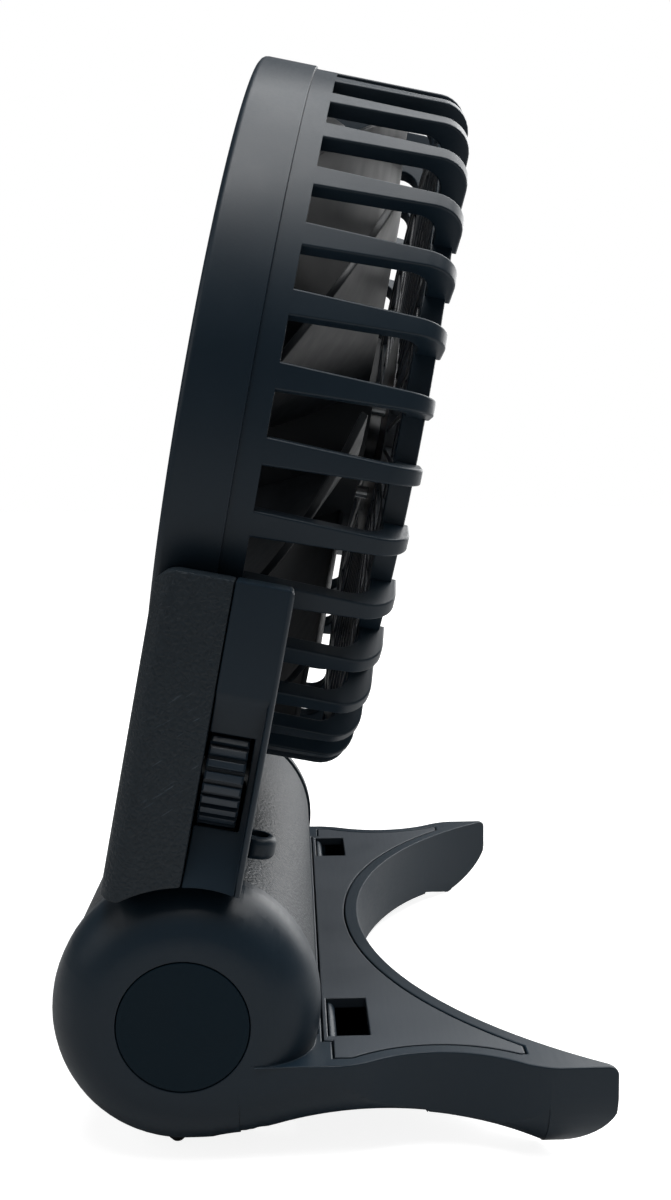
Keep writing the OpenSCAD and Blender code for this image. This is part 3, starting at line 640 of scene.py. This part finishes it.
@dataclass
class SubAssembly:
    """A group of pieces that ride on one body of the fan."""

    body: str

    def build(self) -> None:
        """Builds and dresses the group's pieces."""
        raise NotImplementedError

    def dress(self, *nodes: str, finish: Finish | None = None) -> None:
        """Gives CAD nodes their finish.

        Args:
            nodes: names of CAD nodes that stay as they are.
            finish: their finish, if it isn't that of each one's own slot.
        """
        for name in nodes:
            worn = finish or Dress[slot_of(name)].value
            mesh = frame["nodes"][name].data
            mesh.materials.clear()
            mesh.materials.append(worn.material())
            LOG.info("dressed %s as %s", name, worn.name)

    def merged(self, node: str, flat: float = FLAT) -> BMesh:
        """Copies a CAD node's mesh and joins its triangles.

        Args:
            node: the CAD node's name.
            flat: the angle in degrees up to which triangles become one face. At 0 they stay.

        Returns:
            The copy, in the CAD frame.
        """
        bm = bmesh.new()
        bm.from_mesh(frame["nodes"][node].data)
        bmesh.ops.remove_doubles(bm, verts=bm.verts, dist=CAD_WELD_MM * MM)
        if flat:
            bmesh.ops.dissolve_limit(
                bm,
                angle_limit=math.radians(flat),
                verts=bm.verts,
                edges=bm.edges,
                use_dissolve_boundaries=False,
            )
        return bm

    def refine(self, node: str, edge: float, flat: float = FLAT) -> bpy.types.Object:
        """Makes a finer copy of a CAD node, with joined faces and its edges broken.

        Args:
            node: the CAD node's name.
            edge: the width of the bevel along its sharp edges.
            flat: the angle in degrees up to which triangles become one face.

        Returns:
            The new piece, which stands for the node.
        """
        bm = self.merged(node, flat)
        soften(bm, edge, 2, None, CAD_SHARP)
        return self.finish(bm, node)

    def finish(self, bm: BMesh, node: str) -> bpy.types.Object:
        """Turns a bmesh into a dressed piece that rides on the body.

        Args:
            bm: the mesh, in the CAD frame.
            node: the CAD node that it stands for.

        Returns:
            The new object.
        """
        name = node + "_piece"
        mesh = bpy.data.meshes.new(name)
        for face in bm.faces:
            face.smooth = True
        for edge in bm.edges:
            edge.smooth = len(edge.link_faces) == 2 and edge.calc_face_angle(0) < math.radians(HARD)
        bm.to_mesh(mesh)
        bm.free()
        piece = bpy.data.objects.new(name, mesh)
        bpy.context.scene.collection.objects.link(piece)
        slot = slot_of(node)
        mesh.materials.append(Dress[slot].value.material())
        weigh = piece.modifiers.new("even_normals", "WEIGHTED_NORMAL")
        weigh.keep_sharp = True
        weigh.weight = 80
        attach(piece, self.body)
        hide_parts(node)
        LOG.info("made %s with %d faces", name, len(mesh.polygons))
        return piece


@dataclass
class CrescentBase(SubAssembly):
    """The crescent base with its cheeks, plate, caps and feet.

    Its underside is flat up to the toe, where the arch between its standing points starts, and the
    arch ends at the heel.
    """

    body: str = "base"
    edge: float = 0.25
    plate_edge: float = 0.18
    cap_edge: float = 0.15
    side: float = 45.0
    heel: float = 28.22
    joint_reach: float = 0.6
    joint_top: float = 11.0
    toe: float = -12.09
    toe_reach: float = 5.5
    toe_slope: float = 0.384
    toe_cuts: int = 12
    lift_top: float = 8.0
    lift_fade: float = 5.0
    ease_share: float = 0.6
    ease_side: float = 50.5
    ease_top: float = 11.5
    ease_passes: int = 12

    def build(self) -> None:
        """Builds the frame and its plate and dresses the rest."""
        self.frame_moulding()
        self.refine("base_plate", self.plate_edge)
        self.refine("hinge_cap_near", self.cap_edge)
        self.refine("hinge_cap_far", self.cap_edge)
        self.dress("rubber_feet", "hinge_pins", "hinge_screws", "friction_washers")

    def frame_moulding(self) -> None:
        """The crescent with its cheeks, with its edges broken and a soft start of the arch."""
        bm = self.merged("base_frame")
        soften(bm, self.edge, 2, self.off_joints, CAD_SHARP)
        self.soft_toe(bm)
        self.finish(bm, "base_frame")

    def soft_toe(self, bm: BMesh) -> None:
        """Rounds the corner at the toe: cuts the mesh, lifts its underside and evens its sides."""
        for cut in range(self.toe_cuts + 1):
            x = self.toe + self.toe_reach * (2 * cut / self.toe_cuts - 1)
            sliced(bm, (x * MM, 0, 0), (1, 0, 0))
        for vert in bm.verts:
            x, y, z = vert.co / MM
            away = self.toe_reach - abs(x - self.toe)
            if away > 0 and abs(y) > self.side and z < self.lift_top:
                fade = min(1.0, (self.lift_top - z) / self.lift_fade)
                vert.co.z += away**2 * self.toe_slope / (4 * self.toe_reach) * fade * MM
        reach = self.ease_share * self.toe_reach
        soft = [v for v in bm.verts if abs(v.co.x / MM - self.toe) < reach]
        soft = [v for v in soft if abs(v.co.y) > self.ease_side * MM]
        soft = [v for v in soft if v.co.z < self.ease_top * MM]
        for _ in range(self.ease_passes):
            bmesh.ops.smooth_vert(
                bm, verts=soft, factor=0.5, use_axis_x=False, use_axis_y=True, use_axis_z=True
            )

    def off_joints(self, *ends: Vector) -> bool:
        """Says whether an edge keeps clear of where the arch starts or ends at an outer side."""
        for end in ends:
            along = min(abs(end.x - self.toe), abs(end.x - self.heel))
            if along < self.joint_reach and abs(end.y) > self.side and end.z < self.joint_top:
                return False
        return True


@dataclass
class BatteryBarrel(SubAssembly):
    """The grained barrel between the cheeks, with its ends and what is in it."""

    body: str = "fan_body"
    edge: float = 0.3

    def build(self) -> None:
        """Builds the shell and dresses the rest."""
        self.refine("barrel_shell", self.edge)
        self.dress("barrel_end_near", "barrel_end_far", "battery_cell", "battery_cradle")


@dataclass
class GripBody(SubAssembly):
    """The body between barrel and head: cover, housing, loops and electronics."""

    body: str = "fan_body"
    cover_edge: float = 0.35
    housing_edge: float = 0.25
    port_edge: float = 0.08
    loop_edge: float = 1.0
    eye: tuple[float, float] = (5.47, 44.5)
    eye_edge: float = 0.14
    eye_inside: float = 1.6
    eye_outside: float = 2.0
    eye_sharp: float = 60.0

    def build(self) -> None:
        """Builds the visible shells and dresses the rest."""
        self.refine("front_cover", self.cover_edge)
        self.refine("control_housing", self.housing_edge)
        self.loops()
        self.refine("charge_port", self.port_edge)
        self.dress("housing_screws", "circuit_board", "wheel_encoder", "charge_board")
        # The axle's near-black steel is painted shade for the gap it shows in
        self.dress("wheel_axle", finish=GAP_SHADE_STEEL)

    def loops(self) -> None:
        """The two catch loops, full round outside and with a fine edge at the eye."""
        bm = self.merged("catch_loops")
        turn = body_matrix().inverted()

        def from_eye(place: Vector) -> float:
            """Returns how far a place is from the axis of its eye."""
            own = turn @ (place * MM) / MM
            return math.hypot(own.x - self.eye[0], abs(own.y) - self.eye[1])

        far, near = self.eye_outside, self.eye_inside
        soften(
            bm, self.loop_edge, 5, lambda p, q: min(from_eye(p), from_eye(q)) > far, CAD_SHARP
        )
        soften(
            bm, self.eye_edge, 2, lambda p, q: max(from_eye(p), from_eye(q)) < near, self.eye_sharp
        )
        self.finish(bm, "catch_loops")


@dataclass
class ThumbWheel(SubAssembly):
    """The ridged wheel that sets the speed."""

    body: str = "speed_wheel"
    place: Triple = (-3.04, -48.3, 32.2)
    radius: float = 7.87
    groove: float = 7.2
    wide: float = 5.1
    bore: float = 1.55
    dish: float = 0.6
    dish_slope: tuple[float, float] = (4.0, 4.6)
    groove_edge: float = 0.2
    steps: int = 120
    ridges: int = 30
    ridge: float = 1.12
    ridge_root: float = 6.9
    ridge_play: float = 0.03
    ridge_bevel: float = 0.25
    ridge_taper: float = 0.86
    ridge_edge: float = 0.13
    ridge_sharp: float = 60.0

    def build(self) -> None:
        """Joins the wheel's disc and its ridges and puts them in their place."""
        bm = joined(self.disc(), self.grip())
        place = Matrix.Translation(Vector(self.place) * MM)
        turn = Matrix.Rotation(math.pi / 2, 4, "Y")
        bmesh.ops.transform(bm, matrix=body_matrix() @ place @ turn, verts=bm.verts)
        self.finish(bm, "speed_wheel")

    def disc(self) -> BMesh:
        """The wheel up to the floor of its grooves, dished on both faces."""
        bm = bmesh.new()
        inner, outer = self.dish_slope
        outline = [(self.bore, self.dish), (inner, self.dish), (outer, 0), (self.groove, 0)]
        outline += [(self.groove, self.wide), (outer, self.wide)]
        outline += [(inner, self.wide - self.dish), (self.bore, self.wide - self.dish)]
        turned(bm, outline, self.steps)
        rim = self.groove - NEAR_MM
        soften(bm, self.groove_edge, 2, lambda p, q: min(p.xy.length, q.xy.length) > rim)
        return bm

    def grip(self) -> BMesh:
        """The ridges, each with a flat top between deep grooves."""
        bm = bmesh.new()
        top, play = self.radius, self.ridge_play
        slope = top - self.ridge_bevel
        start = play + self.ridge_bevel
        outline = [(self.ridge_root, play), (slope, play), (top, start), (top, self.wide - start)]
        outline += [(slope, self.wide - play), (self.ridge_root, self.wide - play)]
        pressed(bm, outline, self.ridge)
        for vert in bm.verts:
            if vert.co.x > (self.groove + NEAR_MM) * MM:
                vert.co.y *= self.ridge_taper
        soften(bm, self.ridge_edge, 2, lambda p, q: min(p.x, q.x) > self.groove, self.ridge_sharp)
        ring_of(bm, self.ridges)
        return bm


@dataclass
class OnHead(SubAssembly):
    """A group whose pieces are made about the fan's axis, with depths from the head's front."""

    def place_head(self, bm: BMesh, node: str) -> bpy.types.Object:
        """Moves a mesh from the head's own frame to the CAD frame and finishes it.

        Args:
            bm: the mesh, about Z and with depths along it.
            node: the CAD node that it stands for.

        Returns:
            The new piece.
        """
        bmesh.ops.transform(bm, matrix=head_matrix(), verts=bm.verts)
        return self.finish(bm, node)


@dataclass
class FanHead(OnHead):
    """The head's ring, grilles and cage. Pairs of sizes run outwards or from front to rear."""

    body: str = "fan_body"
    play: float = 0.1
    ring_out: float = 55.0
    ring_wall: float = 2.1
    ring_deep: float = 8.4
    ring_lip_edge: float = 1.0
    ring_mouth_edge: float = 0.6
    ring_rear_edge: float = 0.14
    spigot_wall: float = 1.3
    spigot_rear: float = 10.3
    ledge: float = 3.0
    grille_edge: float = 0.2
    cage_out: float = 54.6
    band_wall: float = 1.8
    band: tuple[float, float] = (8.42, 11.6)
    rim: tuple[float, float] = (45.8, 47.6)
    rim_deep: tuple[float, float] = (28.3, 31.4)
    rear: float = 32.1
    ring_edge: float = 0.3
    ribs: int = 36
    rib_phase: float = 6.4
    rib_thick: tuple[float, float] = (3.7, 2.2)
    rib_sink: float = 0.03
    rib_overlap: float = 0.6
    rib_inner: float = 52.3
    rib_front: float = 10.6
    rib_back: float = 3.6
    rib_split: float = 20.0
    rib_corner: float = 4.5
    rib_inner_corner: float = 3.0
    rib_edge: float = 0.32
    collar: float = 44.5
    guard_ring: tuple[float, float] = (32.4, 34.6)
    guard_fin: float = 1.0
    guard_deep: tuple[float, float] = (28.7, 31.2)
    guard_step: float = 0.2
    fin_sink: tuple[float, float] = (1.0, 0.5)
    hub: float = 17.4
    hub_deep: tuple[float, float] = (28.5, 30.4)
    hub_edge: float = 0.25
    mount: tuple[float, float] = (3.0, 4.2)
    mount_front: float = 14.0
    cap_seat: float = 0.02
    cap_recess: tuple[float, float] = (12.0, 0.9)
    cap_proud: float = 0.4
    cap_dish: tuple[float, float] = (3.0, 0.25)
    cap_edge: float = 0.7

    def build(self) -> None:
        """Builds the rings, the cage and the grilles."""
        self.front_ring()
        # The fins are curved, so joined faces would cross one another there
        self.refine("front_grille", self.grille_edge, 0)
        self.refine("grille_cap", self.grille_edge)
        self.rear_cage()
        self.rear_grille()
        self.hub_cap()
        self.dress("motor_screws", "motor_stator", "motor_windings", "motor_bearing")

    def front_ring(self) -> None:
        """The ring round the outlet, with the ledge for its grille and the spigot in the cage."""
        bm = bmesh.new()
        inner = self.ring_out - self.ring_wall
        spigot_out = self.cage_out - self.band_wall - self.play
        spigot_in = spigot_out - self.spigot_wall
        outline = [
            (self.ring_out, 0),
            (self.ring_out, self.ring_deep),
            (spigot_out, self.ring_deep),
            (spigot_out, self.spigot_rear),
            (spigot_in, self.spigot_rear),
            (spigot_in, self.ledge),
            (inner, self.ledge),
            (inner, 0),
        ]
        turned(bm, outline, FINE)
        side, back = self.ring_out - NEAR_MM, self.ring_deep - NEAR_MM
        soften(bm, self.ring_lip_edge, 4, lambda p, q: p.xy.length > side and p.z < NEAR_MM)
        soften(
            bm,
            self.ring_mouth_edge,
            3,
            lambda p, q: abs(p.xy.length - inner) < NEAR_MM and p.z < NEAR_MM,
        )
        soften(bm, self.ring_rear_edge, 2, lambda p, q: p.xy.length > side and p.z > back)
        self.place_head(bm, "front_ring")

    def rear_cage(self) -> None:
        """The ribbed cage: a plain band, a rim, and ribs that turn in to it at the rear."""
        band = bmesh.new()
        turned(band, rectangle(self.cage_out - self.band_wall, self.cage_out, *self.band), FINE)
        rim = bmesh.new()
        turned(rim, rectangle(*self.rim, *self.rim_deep), FINE)
        soften(rim, self.ring_edge, 2)
        self.place_head(joined(band, rim, self.all_ribs()), "rear_cage")

    def all_ribs(self) -> BMesh:
        """All ribs: a plate bent round the rear corner, thinner to the rear, with rounded edges."""
        bm = bmesh.new()
        out = self.cage_out - self.rib_sink
        end = self.rim[0] + self.rib_overlap
        step = self.rear - self.rib_back
        outline = [(out, self.rib_front), (out, self.rear), (end, self.rear), (end, step)]
        outline += [(self.rib_inner, step), (self.rib_inner, self.rib_front)]
        pressed(bm, outline, self.rib_thick[0])
        for corner, radius, segments in (
            ((out, self.rear), self.rib_corner, 8),
            ((self.rib_inner, step), self.rib_inner_corner, 6),
        ):
            near = Vector(corner)
            soften(
                bm,
                radius,
                segments,
                lambda p, q: max((p.xz - near).length, (q.xz - near).length) < NEAR_MM,
            )
        sliced(bm, (0, 0, self.rib_split * MM), (0, 0, 1))
        thick, thin = self.rib_thick
        for vert in bm.verts:
            share = (vert.co.z / MM - self.spigot_rear) / (self.rear - self.spigot_rear)
            vert.co.y *= 1 + (thin / thick - 1) * max(0.0, min(1.0, share))
        front = 2 * (self.rib_front + NEAR_MM)
        soften(
            bm, self.rib_edge, 3, lambda p, q: abs(p.y - q.y) < thin / 2 and p.z + q.z > front
        )
        ring_of(bm, self.ribs, self.rib_phase)
        return bm

    def rear_grille(self) -> None:
        """The guard at the inlet: fins in line with the ribs, a ring, and the motor's mount."""
        rings = bmesh.new()
        front, rear = self.guard_deep
        step = self.guard_step
        rim = self.rim[0] - self.play
        turned(rings, rectangle(self.collar, rim, front - step, rear + step))
        turned(rings, rectangle(*self.guard_ring, front + step, rear - step))
        soften(rings, self.ring_edge, 2)
        hub = bmesh.new()
        (bore, boss), (disc, back) = self.mount, self.hub_deep
        outline = [(0, disc), (bore, disc), (bore, self.mount_front), (boss, self.mount_front)]
        outline += [(boss, disc), (self.hub, disc), (self.hub, back), (0, back)]
        turned(hub, outline, COARSE)
        soften(hub, self.hub_edge, 2)
        fins = bmesh.new()
        inner, outer = self.hub - self.fin_sink[0], self.collar + self.fin_sink[1]
        pressed(fins, rectangle(inner, outer, front, rear), self.guard_fin)
        soften(
            fins,
            self.ring_edge,
            2,
            lambda p, q: abs(p.z - q.z) < NEAR_MM and abs(p.y - q.y) < NEAR_MM,
        )
        ring_of(fins, self.ribs, self.rib_phase)
        self.place_head(joined(rings, hub, fins), "rear_grille")

    def hub_cap(self) -> None:
        """The cap over the motor mount, with a softly rounded edge and a shallow dish."""
        bm = bmesh.new()
        low = self.hub_deep[1] + self.cap_seat
        top = self.rim_deep[1] + self.cap_proud
        (recess, hollow), (slope, dip) = self.cap_recess, self.cap_dish
        outline = [(0, low + hollow), (recess, low + hollow), (recess, low), (self.hub, low)]
        outline += [(self.hub, top), (self.hub - slope, top), (0, top - dip)]
        turned(bm, outline, COARSE)
        side = self.hub - NEAR_MM
        soften(bm, self.cap_edge, 4, lambda p, q: p.xy.length > side and p.z > top - NEAR_MM)
        self.place_head(bm, "rear_hub_cap")


@dataclass
class Impeller(OnHead):
    """The nine-blade impeller with its hub, and the rotor in it.

    A blade runs from root to tip and from its leading to its trailing edge. Angles are in degrees.
    """

    body: str = "impeller"
    hub_out: float = 16.4
    hub_round: float = 2.0
    cup_in: float = 14.4
    cup: tuple[float, float] = (8.0, 26.0)
    cup_floor: float = 2.0
    cup_edge: float = 0.25
    shaft: float = 1.52
    shaft_boss: tuple[float, float] = (3.4, 13.6)
    blades: int = 9
    blade_grid: tuple[int, int] = (16, 20)
    blade_thick: float = 1.1
    blade_edge: float = 0.3
    blade_sharp: float = 50.0
    root: float = 15.6
    tip: float = 49.4
    start: float = 40.5
    sweep: float = 12.0
    sweep_power: float = 1.4
    chord: float = 38.0
    chord_loss: float = 1.0
    lead: float = 24.6
    lead_fall: float = 1.2
    trail: float = 8.6
    trail_rise: float = 1.6
    camber: float = 0.1

    def build(self) -> None:
        """Builds the impeller and dresses the rotor."""
        cup = bmesh.new()
        front, rear = self.cup
        floor = front + self.cup_floor
        boss, boss_rear = self.shaft_boss
        outline = [(self.shaft, front), (self.hub_out, front), (self.hub_out, rear)]
        outline += [(self.cup_in, rear), (self.cup_in, floor), (boss, floor)]
        outline += [(boss, boss_rear), (self.shaft, boss_rear)]
        turned(cup, outline, COARSE)
        side = self.hub_out - NEAR_MM
        soften(cup, self.hub_round, 6, lambda p, q: p.xy.length > side and p.z < front + NEAR_MM)
        soften(cup, self.cup_edge, 2, lambda p, q: p.z > rear - NEAR_MM)
        self.place_head(joined(cup, self.all_blades()), "impeller")
        self.dress("motor_shaft", "rotor_yoke", "rotor_magnet")

    def all_blades(self) -> BMesh:
        """All blades: a twisted sheet from root to tip, given a wall and rounded edges."""
        bm = bmesh.new()
        across, along = self.blade_grid
        bmesh.ops.create_grid(bm, x_segments=across, y_segments=along, size=0.5)
        for vert in bm.verts:
            vert.co = self.on_blade(vert.co.x + 0.5, vert.co.y + 0.5) * MM
        bm.normal_update()
        half = self.blade_thick / 2 * MM
        for vert, normal in [(v, v.normal.copy()) for v in bm.verts]:
            vert.co -= normal * half
        bmesh.ops.solidify(bm, geom=list(bm.faces), thickness=-self.blade_thick * MM)
        bmesh.ops.recalc_face_normals(bm, faces=bm.faces)
        soften(bm, self.blade_edge, 2, sharp=self.blade_sharp)
        ring_of(bm, self.blades)
        return bm

    def on_blade(self, out: float, back: float) -> Vector:
        """Places a point of the blade's middle sheet.

        Args:
            out: its share of the way from root to tip.
            back: its share of the way from the leading to the trailing edge.

        Returns:
            The place, in the head's own frame.
        """
        lead_turn = self.start - self.sweep * out**self.sweep_power
        turn = math.radians(lead_turn + (self.chord - self.chord_loss * out) * back)
        lead = self.lead - self.lead_fall * out
        trail = self.trail + self.trail_rise * out
        deep = lead + (trail - lead) * (back - self.camber * math.sin(math.pi * back))
        radius = self.root + (self.tip - self.root) * out
        return Vector((radius * math.cos(turn), radius * math.sin(turn), deep))


# The studio. All its places and sizes are in metres


@dataclass(frozen=True)
class SoftBox:
    """A square soft box: where it hangs, what it points at, its side and its power in watts."""

    name: str
    place: Triple
    aim: Triple
    size: float
    watts: float

    def build(self) -> None:
        """Hangs the lamp and turns it to its aim."""
        data = bpy.data.lights.new(self.name, "AREA")
        data.size = self.size
        data.energy = self.watts
        lamp = bpy.data.objects.new(self.name, data)
        bpy.context.scene.collection.objects.link(lamp)
        lamp.location = self.place
        ahead = Vector(self.aim) - Vector(self.place)
        lamp.rotation_euler = ahead.to_track_quat("-Z", "Y").to_euler()


@dataclass
class Studio:
    """Floor, lights, world and camera. The camera's angles are in degrees."""

    lens_mm: float = 38.17
    sensor_mm: float = 36.0
    place: Triple = (-0.004215, -0.21448, 0.0901)
    yaw: float = 1.910
    pitch: float = 5.663
    roll: float = 0.508
    clip: float = 0.01
    floor_size: float = 6.0
    floor_colour: str = "#c4c4c4"
    world_light: float = 0.1
    backdrop: str = "#ffffff"
    # The floor's glow to the camera runs between the levels of fade_white over these distances from
    # the fan in metres: painted shade near it, painted light far out
    fade: tuple[float, float] = (0.15, 0.6)
    fade_white: tuple[float, float] = (0.88, 1.0)
    lamps: tuple[SoftBox, ...] = (
        SoftBox("top_box", (0.20, 0.04, 0.60), (0.0, 0.0, 0.06), 0.55, 4.0),
        SoftBox("front_box", (-0.06, -0.24, 0.74), (0.0, 0.0, 0.07), 0.3, 2.0),
        SoftBox("left_fill", (-0.50, -0.18, 0.34), (0.0, 0.0, 0.07), 0.4, 0.5),
        SoftBox("back_box", (0.36, 0.40, 0.28), (0.0, 0.0, 0.05), 0.5, 3.2),
    )

    def build(self) -> None:
        """Builds the whole studio."""
        self.floor()
        self.sky()
        for lamp in self.lamps:
            lamp.build()
        self.camera()

    def floor(self) -> None:
        """A white floor that shows the fan's shadow, its glow to the camera painted dimmer round
        the fan as painted shade and brighter far out as painted light.
        """
        bm = bmesh.new()
        bmesh.ops.create_grid(bm, x_segments=1, y_segments=1, size=self.floor_size / 2)
        mesh = bpy.data.meshes.new("floor")
        bm.to_mesh(mesh)
        bm.free()
        floor = bpy.data.objects.new("floor", mesh)
        bpy.context.scene.collection.objects.link(floor)
        # Paper rolled out as a backdrop: a matt white that also glows to the camera, painted dimmer
        # near the fan and full white far from it
        paper = bpy.data.materials.new("white_backdrop_paper")
        paper.use_nodes = True
        tree = paper.node_tree
        tree.nodes.remove(tree.nodes["Principled BSDF"])
        matt = add_node(tree, "BsdfDiffuse", None, {"Color": linear(self.floor_colour)}).outputs[0]
        inputs = {"Color": linear(self.backdrop), "Strength": self.seen(tree)}
        glow = add_node(tree, "Emission", None, inputs).outputs[0]
        both = add_node(tree, "AddShader", None, {0: matt, 1: glow}).outputs[0]
        tree.links.new(both, tree.nodes["Material Output"].inputs["Surface"])
        mesh.materials.append(paper)

    def seen(self, tree: Tree) -> Socket:
        """Adds the share of white that camera and glass rays get, painted dimmer near the fan, and
        returns its socket.
        """
        path = add_node(tree, "LightPath").outputs
        total = maths(tree, "MAXIMUM", path["Is Camera Ray"], path["Is Transmission Ray"])
        where = add_node(tree, "TexCoord").outputs["Object"]
        away = add_node(tree, "VectorMath", {"operation": "LENGTH"}, {0: where}).outputs["Value"]
        return maths(tree, "MULTIPLY", total, spread(tree, away, self.fade, self.fade_white))

    def sky(self) -> None:
        """An even white surround, full white to the camera and dimmer as a light."""
        world = bpy.data.worlds.new("studio")
        bpy.context.scene.world = world
        world.use_nodes = True
        tree = world.node_tree
        camera_ray = add_node(tree, "LightPath").outputs["Is Camera Ray"]
        level = spread(tree, camera_ray, (0.0, 1.0), (self.world_light, 1.0))
        back = tree.nodes["Background"]
        back.inputs["Color"].default_value = linear(self.backdrop)
        tree.links.new(level, back.inputs["Strength"])

    def camera(self) -> None:
        """The camera at the photograph's viewing angle."""
        yaw, pitch, roll = (math.radians(a) for a in (self.yaw, self.pitch, self.roll))
        level = math.cos(pitch)
        ahead = Vector((math.sin(yaw) * level, math.cos(yaw) * level, -math.sin(pitch)))
        right = Vector((math.cos(yaw), -math.sin(yaw), 0))
        down = ahead.cross(right)
        right_rolled = math.cos(roll) * right + math.sin(roll) * down
        down_rolled = math.cos(roll) * down - math.sin(roll) * right
        turn = Matrix((right_rolled, -down_rolled, -ahead)).transposed()
        data = bpy.data.cameras.new("camera")
        data.sensor_fit = "VERTICAL"
        data.sensor_height = self.sensor_mm
        data.lens = self.lens_mm
        data.clip_start = self.clip
        camera = bpy.data.objects.new("camera", data)
        camera.matrix_world = Matrix.Translation(Vector(self.place)) @ turn.to_4x4()
        bpy.context.scene.collection.objects.link(camera)
        bpy.context.scene.camera = camera


def main() -> None:
    """Builds the studio and the fan."""
    logging.basicConfig(level=logging.INFO, format="%(name)s: %(message)s")
    bpy.context.scene.view_settings.view_transform = "Standard"
    Studio().build()
    groups: list[SubAssembly] = [
        CrescentBase(),
        BatteryBarrel(),
        GripBody(),
        ThumbWheel(),
        FanHead(),
        Impeller(),
    ]
    for group in groups:
        group.build()
        LOG.info("%s is done", type(group).__name__)


if __name__ == "__main__":
    main()
